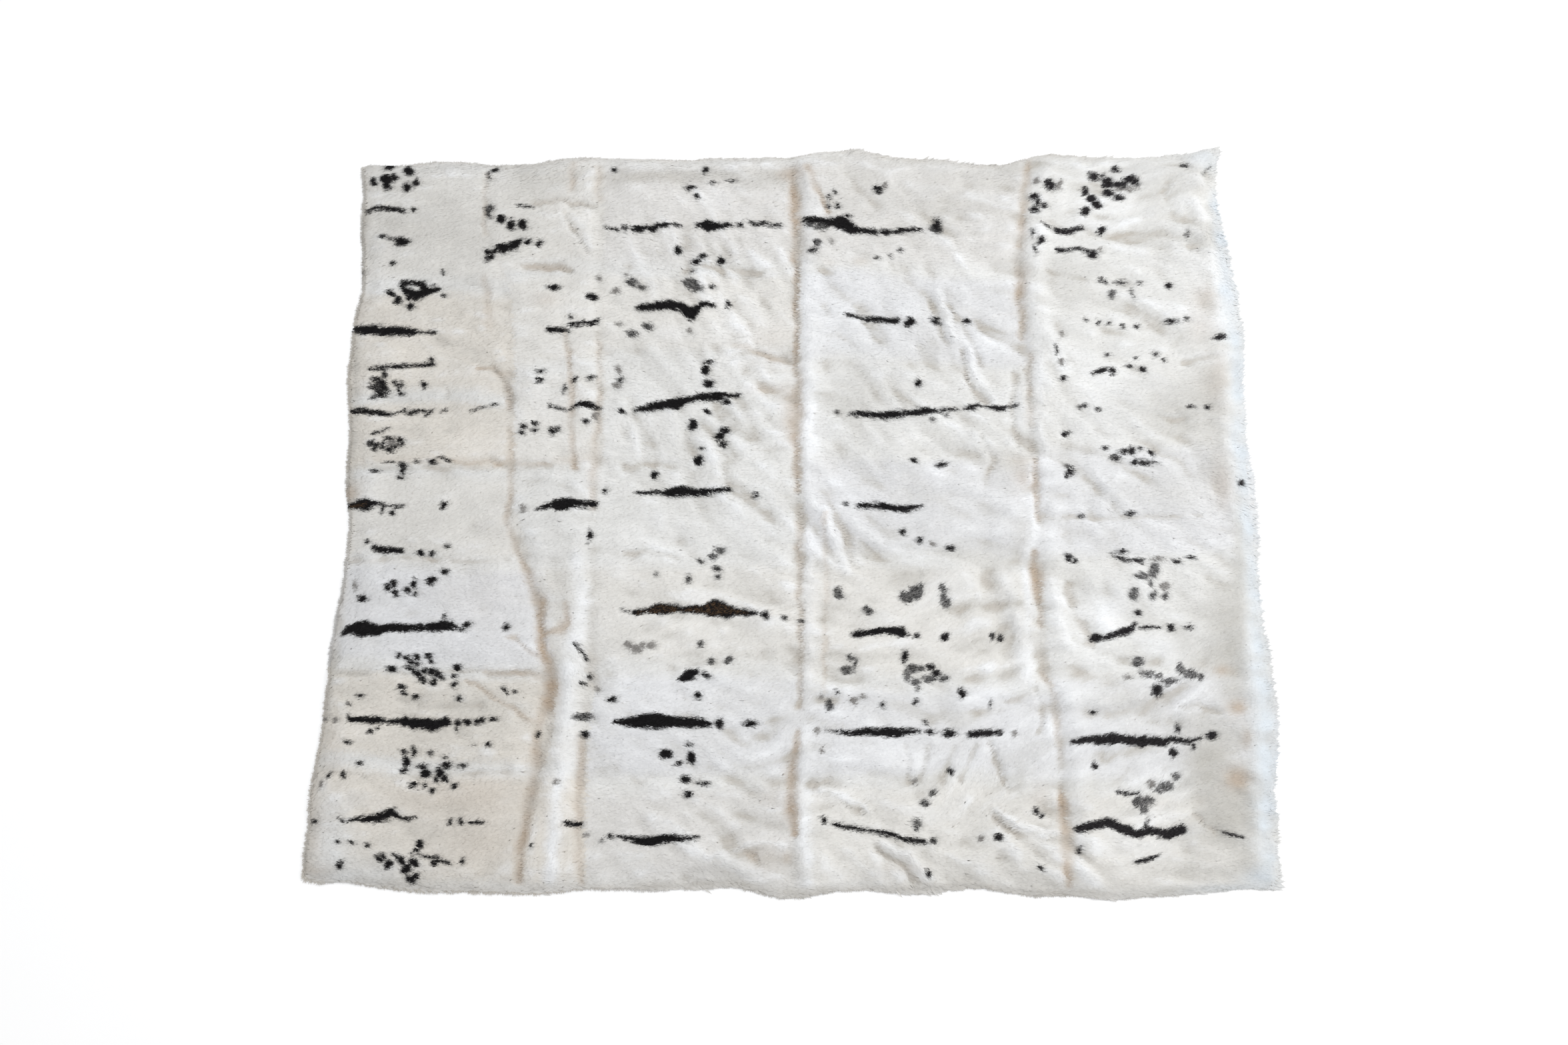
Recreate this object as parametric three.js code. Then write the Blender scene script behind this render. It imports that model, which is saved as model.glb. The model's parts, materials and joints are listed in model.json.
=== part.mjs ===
// Rabbit fur blanket: five strips of seven white pelts, sewn edge to edge and laid flat, fur up.
// Each pelt is one solid with a level hide side, a lumpy fur side and, at the blanket's rim, pointed
// locks that rest on the floor. Millimetres, +X across the strips, +Y up a strip, +Z up.
import * as THREE from 'three';

// Driving dimensions
const blanketHeight = 1340; // along the strips, over the fur
const stepsDown = 48; // grid lines down the blanket, which the cross seams fall on
const seamGap = 0.34; // between neighbouring pelts
const furDepth = 18; // fur and hide together, away from the seams
const rimDepth = 8; // fur at the very edge
const rimSlope = 38; // how far in the edge starts to droop
const lockWidth = 25; // of one lock at the rim
const lockReach = { shortest: 8, longest: 19 };
const tipPlace = { nearest: 0.28, farthest: 0.72 }; // where a lock's tip stands along its width
const crossSeam = { depth: 3, width: 16 }; // the soft trough between pelts of one strip
const stripSeamColumns = [14, 32, 56]; // grid lines beside a strip seam, from the seam
const wideColumn = 54; // the widest column in the middle of a strip

// The strips' edges, read down the blanket. Where two strips meet, both follow the same line.
const stripEdges = [
  { down: 0, left: -803, ab: -570, bc: -360, cd: 0, de: 475, right: 804 },
  { down: 50, left: -796, ab: -570, bc: -360, cd: 18, de: 450, right: 794 },
  { down: 150, left: -793, ab: -562, bc: -356, cd: 20, de: 436, right: 802 },
  { down: 255, left: -787, ab: -526, bc: -354, cd: 18, de: 427, right: 814 },
  { down: 380, left: -797, ab: -513, bc: -347, cd: 16, de: 434, right: 822 },
  { down: 540, left: -790, ab: -504, bc: -342, cd: 16, de: 438, right: 814 },
  { down: 670, left: -780, ab: -498, bc: -346, cd: 19, de: 441, right: 817 },
  { down: 790, left: -777, ab: -462, bc: -345, cd: 21, de: 437, right: 815 },
  { down: 890, left: -785, ab: -437, bc: -345, cd: 20, de: 438, right: 817 },
  { down: 980, left: -791, ab: -413, bc: -344, cd: 17, de: 441, right: 824 },
  { down: 1080, left: -796, ab: -413, bc: -350, cd: 14, de: 461, right: 826 },
  { down: 1170, left: -803, ab: -434, bc: -354, cd: 3, de: 463, right: 814 },
  { down: 1250, left: -804, ab: -451, bc: -352, cd: 5, de: 475, right: 810 },
  { down: 1340, left: -806, ab: -454, bc: -347, cd: 12, de: 472, right: 806 },
];

// The top and bottom edges, read across the blanket.
const longEdges = [
  { across: -815, top: 640, bottom: -643 },
  { across: -730, top: 648, bottom: -648 },
  { across: -620, top: 653, bottom: -660 },
  { across: -545, top: 642, bottom: -663 },
  { across: -430, top: 658, bottom: -664 },
  { across: -330, top: 661, bottom: -658 },
  { across: -195, top: 657, bottom: -659 },
  { across: -100, top: 659, bottom: -654 },
  { across: 10, top: 664, bottom: -670 },
  { across: 100, top: 680, bottom: -659 },
  { across: 205, top: 662, bottom: -664 },
  { across: 300, top: 656, bottom: -653 },
  { across: 390, top: 645, bottom: -668 },
  { across: 480, top: 667, bottom: -668 },
  { across: 565, top: 662, bottom: -675 },
  { across: 700, top: 661, bottom: -660 },
  { across: 815, top: 677, bottom: -655 },
];

// One row for each strip: its two edges, and the grid lines where its pelts start, from the top.
const strips = [
  { name: 'a', west: 'left', east: 'ab', starts: [0, 9, 17, 22, 28, 35, 41] },
  { name: 'b', west: 'ab', east: 'bc', starts: [0, 8, 15, 22, 28, 35, 41] },
  { name: 'c', west: 'bc', east: 'cd', starts: [0, 8, 14, 22, 28, 35, 42] },
  { name: 'd', west: 'cd', east: 'de', starts: [0, 8, 15, 21, 28, 36, 42] },
  { name: 'e', west: 'de', east: 'right', starts: [0, 9, 15, 20, 28, 35, 42] },
];

// Fur colour of each pelt, from the top of its strip to the bottom.
const furTones = {
  warm: '#e4e1d9',
  cream: '#e6e4e1',
  white: '#e7e7e6',
  cool: '#e5e6e8',
  grey: '#dfdedc',
};
const peltTones = {
  a: ['cream', 'warm', 'warm', 'cream', 'cool', 'warm', 'warm'],
  b: ['cream', 'cream', 'cream', 'white', 'cream', 'cream', 'warm'],
  c: ['grey', 'cream', 'white', 'white', 'cream', 'cool', 'grey'],
  d: ['grey', 'cool', 'white', 'cool', 'cream', 'cool', 'cream'],
  e: ['white', 'white', 'white', 'cool', 'white', 'cool', 'cream'],
};

// How the fur stands along the strip seams: a valley on the seam and a ridge beside it.
const seamRelief = [
  { seam: 'ab', from: 0, to: 620, valley: 4, ridge: 3, ridgeAt: 22, ridgeWidth: 20 },
  { seam: 'ab', from: 680, to: 1340, valley: 9, ridge: 6, ridgeAt: 24, ridgeWidth: 20 },
  { seam: 'bc', from: 0, to: 660, valley: 4, ridge: 4, ridgeAt: -22, ridgeWidth: 18 },
  { seam: 'bc', from: 720, to: 1340, valley: 5, ridge: 11, ridgeAt: -30, ridgeWidth: 20 },
  { seam: 'cd', from: 0, to: 500, valley: 8, ridge: 15, ridgeAt: 20, ridgeWidth: 15 },
  { seam: 'cd', from: 560, to: 1040, valley: 7, ridge: 8, ridgeAt: 18, ridgeWidth: 13 },
  { seam: 'cd', from: 1100, to: 1340, valley: 6, ridge: 14, ridgeAt: 20, ridgeWidth: 16 },
  { seam: 'de', from: 0, to: 700, valley: 7, ridge: 12, ridgeAt: 24, ridgeWidth: 20 },
  { seam: 'de', from: 760, to: 1340, valley: 9, ridge: 12, ridgeAt: 26, ridgeWidth: 22 },
  { seam: 'right', from: 30, to: 1310, valley: 0, ridge: 11, ridgeAt: -26, ridgeWidth: 24 },
];
const valleyWidth = 13;
const reliefFade = 40; // a valley or ridge fades in over this length

// Rolls and knobs of fur, and creases pressed into it. turn is in degrees from +X.
const furForms = [
  { name: 'corner knob', across: 800, down: 12, length: 30, width: 18, turn: 0, rise: 17 },
  { name: 'rolled top edge', across: 715, down: 22, length: 150, width: 14, turn: 0, rise: 9 },
  { name: 'top bulge', across: 110, down: 10, length: 150, width: 20, turn: 0, rise: 9 },
  { name: 'bottom bulge', across: -35, down: 1325, length: 130, width: 20, turn: 0, rise: 7 },
  { name: 'long bottom fur', across: 420, down: 1325, length: 240, width: 20, turn: 0, rise: 7 },
  { name: 'narrow strip fold', across: -405, down: 92, length: 110, width: 15, turn: -8, rise: -6 },
  { name: 'side fold', across: -430, down: 205, length: 90, width: 14, turn: 40, rise: -5 },
  { name: 'flank fold', across: -60, down: 265, length: 130, width: 16, turn: 0, rise: -5 },
  { name: 'lower flank fold', across: -250, down: 740, length: 100, width: 16, turn: -6, rise: -5 },
  { name: 'right flank trough', across: 385, down: 870, length: 190, width: 22, turn: 72, rise: -6 },
  { name: 'edge strip trough', across: 495, down: 855, length: 110, width: 18, turn: 66, rise: -6 },
  { name: 'bottom fold', across: 75, down: 1185, length: 90, width: 16, turn: -24, rise: -5 },
  { name: 'corner fold', across: 180, down: 1285, length: 110, width: 18, turn: -35, rise: -6 },
];

// Slow waves of the fur all over: how long, which way and how high.
const furWaves = [
  { length: 310, turn: 20, rise: 1.8, start: 0.4 },
  { length: 190, turn: 105, rise: 1.5, start: 2.1 },
  { length: 128, turn: 62, rise: 1.2, start: 4.0 },
  { length: 86, turn: 150, rise: 0.9, start: 1.2 },
  { length: 67, turn: 8, rise: 0.7, start: 5.3 },
];

const radians = THREE.MathUtils.degToRad;
const mix = THREE.MathUtils.lerp;

// A repeatable number from 0 to 1 for a place, so that locks differ and never change.
function chance(across, down) {
  const wave = Math.sin(across * 12.9898 + down * 78.233) * 43758.5453;
  return wave - Math.floor(wave);
}

// Reads a column of a table between its rows along a smooth curve.
function readTable(rows, along, column, at) {
  const last = rows.length - 1;
  const place = THREE.MathUtils.clamp(at, rows[0][along], rows[last][along]);
  const row = Math.min(rows.findIndex((next) => next[along] >= place) || 1, last);
  const [low, high] = [rows[row - 1], rows[row]];
  const before = rows[Math.max(row - 2, 0)];
  const after = rows[Math.min(row + 1, last)];
  const span = high[along] - low[along];
  const share = (place - low[along]) / span;
  const slopeLow = ((high[column] - before[column]) / (high[along] - before[along])) * span;
  const slopeHigh = ((after[column] - low[column]) / (after[along] - low[along])) * span;
  const bow = share * (1 - share);
  return mix(low[column], high[column], share)
    + bow * (1 - share) * (slopeLow - high[column] + low[column])
    - bow * share * (slopeHigh - high[column] + low[column]);
}

const edgeAcross = (edge, down) => readTable(stripEdges, 'down', edge, down);
const topEdge = (across) => readTable(longEdges, 'across', 'top', across);
const bottomEdge = (across) => readTable(longEdges, 'across', 'bottom', across);

// A point of the blanket's plan: a share across a strip, on a grid line counted from the top.
function planPoint(strip, share, line) {
  const down = (line / stepsDown) * blanketHeight;
  const across = mix(edgeAcross(strip.west, down), edgeAcross(strip.east, down), share);
  return { x: across, y: mix(topEdge(across), bottomEdge(across), line / stepsDown), down };
}

// Fades a form in and out at its ends.
function between(at, from, to, fade) {
  const rising = THREE.MathUtils.smoothstep(at, from - fade, from + fade);
  return rising - THREE.MathUtils.smoothstep(at, to - fade, to + fade);
}

const bell = (distance, width) => Math.exp(-((distance / width) ** 2));

function seamHeight(x, down) {
  let height = 0;
  for (const part of seamRelief) {
    const distance = x - edgeAcross(part.seam, down);
    const shown = between(down, part.from, part.to, reliefFade);
    height += shown * part.ridge * bell(distance - part.ridgeAt, part.ridgeWidth);
    height -= shown * part.valley * bell(distance, valleyWidth);
  }
  return height;
}

function formHeight(x, down) {
  let height = 0;
  for (const form of furForms) {
    const turn = radians(form.turn);
    const [east, north] = [x - form.across, form.down - down];
    const along = Math.abs(east * Math.cos(turn) + north * Math.sin(turn));
    const aside = north * Math.cos(turn) - east * Math.sin(turn);
    const past = Math.max(along - form.length / 2, 0);
    height += form.rise * bell(Math.hypot(past, aside), form.width);
  }
  return height;
}

function waveHeight(x, down) {
  let height = 0;
  for (const wave of furWaves) {
    const turn = radians(wave.turn);
    const along = x * Math.cos(turn) - down * Math.sin(turn);
    height += wave.rise * Math.sin((along / wave.length) * 2 * Math.PI + wave.start);
  }
  return height;
}

// Height of the fur over the floor at a place of the plan.
function furHeight(place, fromCrossSeam) {
  const { x, y, down } = place;
  const side = Math.min(x - edgeAcross('left', down), edgeAcross('right', down) - x);
  const end = Math.min(topEdge(x) - y, y - bottomEdge(x));
  const droop = THREE.MathUtils.smoothstep(Math.min(side, end), -rimSlope / 2, rimSlope);
  const trough = crossSeam.depth * bell(fromCrossSeam, crossSeam.width);
  const full = furDepth + seamHeight(x, down) + formHeight(x, down) + waveHeight(x, down) - trough;
  return mix(rimDepth / 2, Math.max(full, rimDepth), droop);
}

// Shares across a strip for its grid lines: close beside its edges and wider in the middle.
function columnShares(strip) {
  const middle = blanketHeight / 2;
  const width = edgeAcross(strip.east, middle) - edgeAcross(strip.west, middle);
  const close = [0, ...stripSeamColumns];
  const inner = width - 2 * close.at(-1);
  const count = Math.max(1, Math.round(inner / wideColumn));
  const wide = Array.from({ length: count - 1 }, (_, i) => close.at(-1) + (inner * (i + 1)) / count);
  const mirrored = close.map((offset) => width - offset).reverse();
  return [...close, ...wide, ...mirrored].map((offset) => offset / width);
}

// The fur side of one pelt as rows of points, each pelt drawn back from its seams by half the gap.
function peltGrid(strip, start, end) {
  const shares = columnShares(strip);
  const grid = [];
  for (let line = start; line <= end; line += 1) {
    const seamAbove = start > 0 && line === start;
    const seamBelow = end < stepsDown && line === end;
    grid.push(shares.map((share) => {
      const place = planPoint(strip, share, line);
      const step = blanketHeight / stepsDown;
      const fromAbove = start > 0 ? (line - start) * step : Infinity;
      const fromBelow = end < stepsDown ? (end - line) * step : Infinity;
      const z = furHeight(place, Math.min(fromAbove, fromBelow));
      const west = share === 0 && strip.west !== 'left';
      const east = share === 1 && strip.east !== 'right';
      const x = place.x + (seamGap / 2) * (Number(west) - Number(east));
      const y = place.y + (seamGap / 2) * (Number(seamBelow) - Number(seamAbove));
      return { x, y, z };
    }));
  }
  return grid;
}

// Points between two corners of the rim, so that each piece of it carries one lock.
function rimPoints(from, to) {
  const length = Math.hypot(to.x - from.x, to.y - from.y);
  const wanted = length / lockWidth + 0.8 * (chance(from.x, from.y) - 0.5);
  const count = Math.max(1, Math.round(wanted));
  const height = (share) => mix(from.z, to.z, share) * (0.85 + 0.3 * chance(to.x, share + to.y));
  return Array.from({ length: count - 1 }, (_, i) => (i + 1) / count).map((share) => ({
    x: mix(from.x, to.x, share), y: mix(from.y, to.y, share), z: height(share),
  }));
}

// Collects points and faces; a point that is given again keeps its number.
function newShell() {
  const numbers = new Map();
  const positions = [];
  const faces = [];
  const number = (point) => {
    const key = `${point.x.toFixed(4)} ${point.y.toFixed(4)} ${point.z.toFixed(4)}`;
    if (!numbers.has(key)) {
      numbers.set(key, positions.length / 3);
      positions.push(point.x, point.y, point.z);
    }
    return numbers.get(key);
  };
  const face = (...points) => faces.push(...points.map(number));
  return { positions, faces, face };
}

const footOf = (point) => ({ x: point.x, y: point.y, z: 0 });

// One lock of fur on a piece of the rim: three sides that meet in a tip on the floor.
function addLock(shell, from, to) {
  const pick = chance(from.x + to.y, to.x - from.y);
  const along = mix(tipPlace.nearest, tipPlace.farthest, chance(to.y, from.x));
  const reach = mix(lockReach.shortest, lockReach.longest, pick);
  const length = Math.hypot(to.x - from.x, to.y - from.y);
  const tip = {
    x: mix(from.x, to.x, along) + (reach * (to.y - from.y)) / length,
    y: mix(from.y, to.y, along) - (reach * (to.x - from.x)) / length,
    z: 0,
  };
  shell.face(from, tip, to);
  shell.face(from, footOf(from), tip);
  shell.face(to, tip, footOf(to));
  return tip;
}

// Walls round the pelt, counter-clockwise, and the level hide side under them.
function addWallsAndHide(shell, pieces) {
  const outline = [];
  for (const { from, to, rim } of pieces) {
    outline.push(footOf(from));
    if (rim) {
      outline.push(addLock(shell, from, to));
    } else {
      shell.face(from, footOf(from), footOf(to));
      shell.face(from, footOf(to), to);
    }
  }
  const flat = outline.map((point) => new THREE.Vector2(point.x, point.y));
  for (const [a, b, c] of THREE.ShapeUtils.triangulateShape(flat, [])) {
    shell.face(outline[a], outline[c], outline[b]);
  }
}

// The four borders of a pelt's grid, as grid steps counter-clockwise from its top right corner.
function borderSteps(rows, columns) {
  const steps = [];
  for (let c = columns; c > 0; c -= 1) {
    steps.push({ side: 'top', from: [0, c], to: [0, c - 1] });
  }
  for (let r = 0; r < rows; r += 1) {
    steps.push({ side: 'west', from: [r, 0], to: [r + 1, 0] });
  }
  for (let c = 0; c < columns; c += 1) {
    steps.push({ side: 'bottom', from: [rows, c], to: [rows, c + 1] });
  }
  for (let r = rows; r > 0; r -= 1) {
    steps.push({ side: 'east', from: [r, columns], to: [r - 1, columns] });
  }
  return steps;
}

// The fur side: each grid cell is a fan from a corner that isn't on the rim.
function addFurSide(shell, grid, extra, rims) {
  const [rows, columns] = [grid.length - 1, grid[0].length - 1];
  for (let r = 0; r < rows; r += 1) {
    for (let c = 0; c < columns; c += 1) {
      const corners = [[r, c], [r + 1, c], [r + 1, c + 1], [r, c + 1]];
      const onRim = ([row, column]) => (rims.top && row === 0) || (rims.bottom && row === rows)
        || (rims.west && column === 0) || (rims.east && column === columns);
      const first = corners.findIndex((corner) => !onRim(corner));
      const loop = [0, 1, 2, 3].flatMap((step) => {
        const from = corners[(first + step) % 4];
        const to = corners[(first + step + 1) % 4];
        return [grid[from[0]][from[1]], ...(extra.get(`${from} ${to}`) ?? [])];
      });
      for (let i = 1; i < loop.length - 1; i += 1) {
        shell.face(loop[0], loop[i], loop[i + 1]);
      }
    }
  }
}

function peltGeometry(strip, start, end) {
  const grid = peltGrid(strip, start, end);
  const rims = {
    top: start === 0,
    bottom: end === stepsDown,
    west: strip.west === 'left',
    east: strip.east === 'right',
  };
  const extra = new Map();
  const pieces = [];
  for (const { side, from, to } of borderSteps(grid.length - 1, grid[0].length - 1)) {
    const ends = [grid[from[0]][from[1]], grid[to[0]][to[1]]];
    const middle = rims[side] ? rimPoints(...ends) : [];
    extra.set(`${from} ${to}`, middle);
    const points = [ends[0], ...middle, ends[1]];
    for (let i = 1; i < points.length; i += 1) {
      pieces.push({ from: points[i - 1], to: points[i], rim: rims[side] });
    }
  }
  const shell = newShell();
  addFurSide(shell, grid, extra, rims);
  addWallsAndHide(shell, pieces);
  const geometry = new THREE.BufferGeometry();
  geometry.setAttribute('position', new THREE.Float32BufferAttribute(shell.positions, 3));
  geometry.setIndex(shell.faces);
  return geometry;
}

function furMaterial(tone) {
  return new THREE.MeshStandardMaterial({ color: furTones[tone], roughness: 0.95, metalness: 0 });
}

// One pelt, its geometry taken to its own middle and the mesh placed there.
function makePelt(strip, row) {
  const start = strip.starts[row];
  const end = strip.starts[row + 1] ?? stepsDown;
  const geometry = peltGeometry(strip, start, end);
  const middle = planPoint(strip, 0.5, (start + end) / 2);
  geometry.translate(-middle.x, -middle.y, 0);
  geometry.computeVertexNormals();
  const pelt = new THREE.Mesh(geometry, furMaterial(peltTones[strip.name][row]));
  pelt.name = `pelt_${strip.name}${row + 1}`;
  pelt.position.set(middle.x, middle.y, 0);
  return pelt;
}

function makeStrip(strip) {
  const group = new THREE.Group();
  strip.starts.forEach((_, row) => group.add(makePelt(strip, row)));
  return group;
}

// The blanket, moved so that the origin is on the floor under the middle of its box.
function makeBlanket() {
  const sewn = new THREE.Group();
  strips.forEach((strip) => sewn.add(makeStrip(strip)));
  const middle = new THREE.Box3().setFromObject(sewn).getCenter(new THREE.Vector3());
  sewn.position.set(-middle.x, -middle.y, 0);
  const blanket = new THREE.Group();
  blanket.add(sewn);
  return blanket;
}

export default makeBlanket();
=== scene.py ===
import json
import math

import bpy
import numpy as np
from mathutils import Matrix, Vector
from mathutils.bvhtree import BVHTree


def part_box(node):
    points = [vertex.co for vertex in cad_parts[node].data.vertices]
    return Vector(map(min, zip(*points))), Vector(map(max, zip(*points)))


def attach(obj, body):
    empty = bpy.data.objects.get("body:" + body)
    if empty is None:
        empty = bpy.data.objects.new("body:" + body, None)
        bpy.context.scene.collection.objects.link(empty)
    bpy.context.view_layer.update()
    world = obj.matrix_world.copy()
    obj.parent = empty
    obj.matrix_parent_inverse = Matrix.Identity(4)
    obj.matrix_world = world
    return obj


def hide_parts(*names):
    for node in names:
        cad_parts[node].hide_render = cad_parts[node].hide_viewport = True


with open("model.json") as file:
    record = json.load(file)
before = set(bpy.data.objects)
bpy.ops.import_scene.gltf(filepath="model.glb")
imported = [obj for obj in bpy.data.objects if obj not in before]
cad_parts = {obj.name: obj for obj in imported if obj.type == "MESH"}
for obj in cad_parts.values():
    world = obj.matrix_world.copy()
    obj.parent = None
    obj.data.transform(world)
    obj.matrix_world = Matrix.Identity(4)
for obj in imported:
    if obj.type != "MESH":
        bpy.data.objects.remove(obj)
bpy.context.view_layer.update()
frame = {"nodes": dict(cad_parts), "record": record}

peltNames = sorted(frame["nodes"])

# the photo's camera: place in metres, tilt in degrees from straight down
photoView = {
    "width": 2352, "height": 1568,
    "lens": 26.0, "sensor": 36.0,
    "place": (-0.019, -0.448, 1.986), "tilt": 11.6,
    "furHeight": 0.016,  # of the fur that the pixels show, above the floor
}


def photoScale():
    return photoView["lens"] / photoView["sensor"] * photoView["width"]


def blanketPlace(px, py, height=photoView["furHeight"]):
    # a photo pixel to a place on the blanket
    tilt = math.radians(photoView["tilt"])
    right = (px - photoView["width"] / 2) / photoScale()
    down = (py - photoView["height"] / 2) / photoScale()
    reach = (photoView["place"][2] - height) / (math.cos(tilt) + down * math.sin(tilt))
    x = photoView["place"][0] + reach * right
    y = photoView["place"][1] + reach * (math.sin(tilt) - down * math.cos(tilt))
    return x, y


def photoPixel(x, y, height=photoView["furHeight"]):
    # the other way round, for whole arrays of places
    tilt = math.radians(photoView["tilt"])
    dx = x - photoView["place"][0]
    dy = y - photoView["place"][1]
    dz = height - photoView["place"][2]
    depth = dy * math.sin(tilt) - dz * math.cos(tilt)
    up = dy * math.cos(tilt) + dz * math.sin(tilt)
    px = photoView["width"] / 2 + photoScale() * dx / depth
    py = photoView["height"] / 2 - photoScale() * up / depth
    return px, py


def placeCamera():
    data = bpy.data.cameras.new("photoCamera")
    data.lens = photoView["lens"]
    data.sensor_width = photoView["sensor"]
    camera = bpy.data.objects.new("photoCamera", data)
    camera.location = photoView["place"]
    camera.rotation_euler = (math.radians(photoView["tilt"]), 0, 0)
    bpy.context.scene.collection.objects.link(camera)
    bpy.context.scene.camera = camera


placeCamera()
print("camera placed")

studio = {
    "floorSize": 14.0, "floorHeight": -0.0004, "floorColour": (0.985, 0.985, 0.985, 1), "floorRoughness": 0.9,
    "worldColour": (1.0, 1.0, 1.0, 1), "worldStrength": 0.77,
    "keyLight": {"place": (3.1, 0.5, 1.8), "size": 1.5, "power": 42.0, "colour": (1, 0.985, 0.96)},
    "topLight": {"place": (0.1, 0.9, 3.2), "size": 2.6, "power": 38.0, "colour": (0.95, 0.97, 1)},
}


def addAreaLight(name):
    data = bpy.data.lights.new(name, "AREA")
    data.shape = "SQUARE"
    data.size = studio[name]["size"]
    data.energy = studio[name]["power"]
    data.color = studio[name]["colour"]
    light = bpy.data.objects.new(name, data)
    light.location = studio[name]["place"]
    light.rotation_euler = (-Vector(studio[name]["place"])).to_track_quat("-Z", "Y").to_euler()
    bpy.context.scene.collection.objects.link(light)


def setStudio():
    bpy.ops.object.select_all(action="DESELECT")
    bpy.ops.mesh.primitive_plane_add(size=studio["floorSize"], location=(0, 0, studio["floorHeight"]))
    floor = bpy.context.object
    floor.name = "floor"
    material = bpy.data.materials.new("paleFloor")
    material.use_nodes = True
    shader = material.node_tree.nodes["Principled BSDF"]
    shader.inputs["Base Color"].default_value = studio["floorColour"]
    shader.inputs["Roughness"].default_value = studio["floorRoughness"]
    floor.data.materials.append(material)
    addAreaLight("keyLight")
    addAreaLight("topLight")
    world = bpy.data.worlds.new("softRoom")
    world.use_nodes = True
    background = world.node_tree.nodes["Background"]
    background.inputs["Color"].default_value = studio["worldColour"]
    background.inputs["Strength"].default_value = studio["worldStrength"]
    bpy.context.scene.world = world
    bpy.context.scene.view_settings.view_transform = "Standard"


setStudio()
print("studio set")

# maps over the blanket: one value for each small square of its plan
mapArea = {"west": -0.87, "south": -0.72, "cell": 0.002, "columns": 870, "rows": 720}
mapX, mapY = np.meshgrid(
    mapArea["west"] + mapArea["cell"] * np.arange(mapArea["columns"]),
    mapArea["south"] + mapArea["cell"] * np.arange(mapArea["rows"]),
)


def readMap(values, x, y):
    # between the four nearest squares
    lastStep = 1.001  # leaves one more square beyond each place
    col = np.clip((x - mapArea["west"]) / mapArea["cell"], 0, mapArea["columns"] - lastStep)
    row = np.clip((y - mapArea["south"]) / mapArea["cell"], 0, mapArea["rows"] - lastStep)
    c, r = col.astype(int), row.astype(int)
    fc, fr = col - c, row - r
    low = values[r, c] * (1 - fc) + values[r, c + 1] * fc
    high = values[r + 1, c] * (1 - fc) + values[r + 1, c + 1] * fc
    return low * (1 - fr) + high * fr


def soften(values, reach):
    # a blur that reaches so many metres
    cells = reach / mapArea["cell"]
    count = int(3 * cells) + 1
    weights = np.exp(-0.5 * (np.arange(-count, count + 1) / cells) ** 2)
    weights /= weights.sum()
    for axis in (0, 1):
        padded = np.pad(values, [(count, count) if a == axis else (0, 0) for a in (0, 1)], mode="edge")
        size = values.shape[axis]
        values = sum(w * np.take(padded, np.arange(i, i + size), axis) for i, w in enumerate(weights))
    return values


def smoothNoise(x, y, size, seed):
    # soft bumps of about that size, from -1 to 1
    cells = 64  # the pattern comes again after so many bumps
    table = np.random.default_rng(seed).uniform(-1, 1, (cells, cells))
    gx, gy = x / size + 10 * cells, y / size + 10 * cells
    ix, iy = np.floor(gx).astype(int), np.floor(gy).astype(int)
    fx, fy = gx - ix, gy - iy
    fx, fy = fx * fx * (3 - 2 * fx), fy * fy * (3 - 2 * fy)

    def corner(dx, dy):
        return table[(iy + dy) % cells, (ix + dx) % cells]

    low = corner(0, 0) * (1 - fx) + corner(1, 0) * fx
    high = corner(0, 1) * (1 - fx) + corner(1, 1) * fx
    return low * (1 - fy) + high * fy


def smoothStep(values, low, high):
    # 0 up to low, 1 from high, and an easy rise between
    t = np.clip((values - low) / (high - low), 0, 1)
    return t * t * (3 - 2 * t)


# how the coat lies: towards +X along the back stripes, with slow swirls; turns in degrees
coatLie = {
    "slowSize": 0.21, "slowTurn": 24.0,
    "quickSize": 0.075, "quickTurn": 15.0,
    "placePull": 0.75, "combStep": 1.5,
    "places": [  # photo x, photo y, reach in pixels, turn
        (1020, 430, 110, -28), (1100, 560, 70, -20), (1340, 420, 130, -24), (1300, 720, 110, -14),
        (1490, 960, 80, 38), (1440, 1190, 90, 62), (1280, 1200, 70, 20), (1360, 1290, 60, -34),
        (1700, 300, 90, 24), (1690, 470, 80, 8), (1720, 880, 70, -26), (1790, 1010, 60, 26),
        (1730, 1180, 60, 34), (640, 440, 70, 12), (600, 1160, 80, -10), (560, 880, 60, 16),
        (660, 1000, 60, -12), (860, 1000, 40, -48), (840, 420, 50, 30), (1000, 980, 60, 14),
    ],
}


def makeLieMap():
    # the way that the hairs point at each place, in radians from +X
    turn = coatLie["slowTurn"] * smoothNoise(mapX, mapY, coatLie["slowSize"], 11)
    turn += coatLie["quickTurn"] * smoothNoise(mapX, mapY, coatLie["quickSize"], 12)
    px, py = photoPixel(mapX, mapY)
    for placeX, placeY, reach, wanted in coatLie["places"]:
        weight = np.exp(-((px - placeX) ** 2 + (py - placeY) ** 2) / reach ** 2)
        turn = turn * (1 - coatLie["placePull"] * weight) + wanted * weight
    return np.radians(turn)


def combAlong(values, turn, reach):
    # draws the values out along the lie of the coat
    steps = np.arange(-reach, reach + 1e-9, mapArea["cell"] * coatLie["combStep"])
    total = np.zeros_like(values)
    for step in steps:
        total += readMap(values, mapX + step * np.cos(turn), mapY + step * np.sin(turn))
    total -= total.mean()
    return total / total.std()


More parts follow.
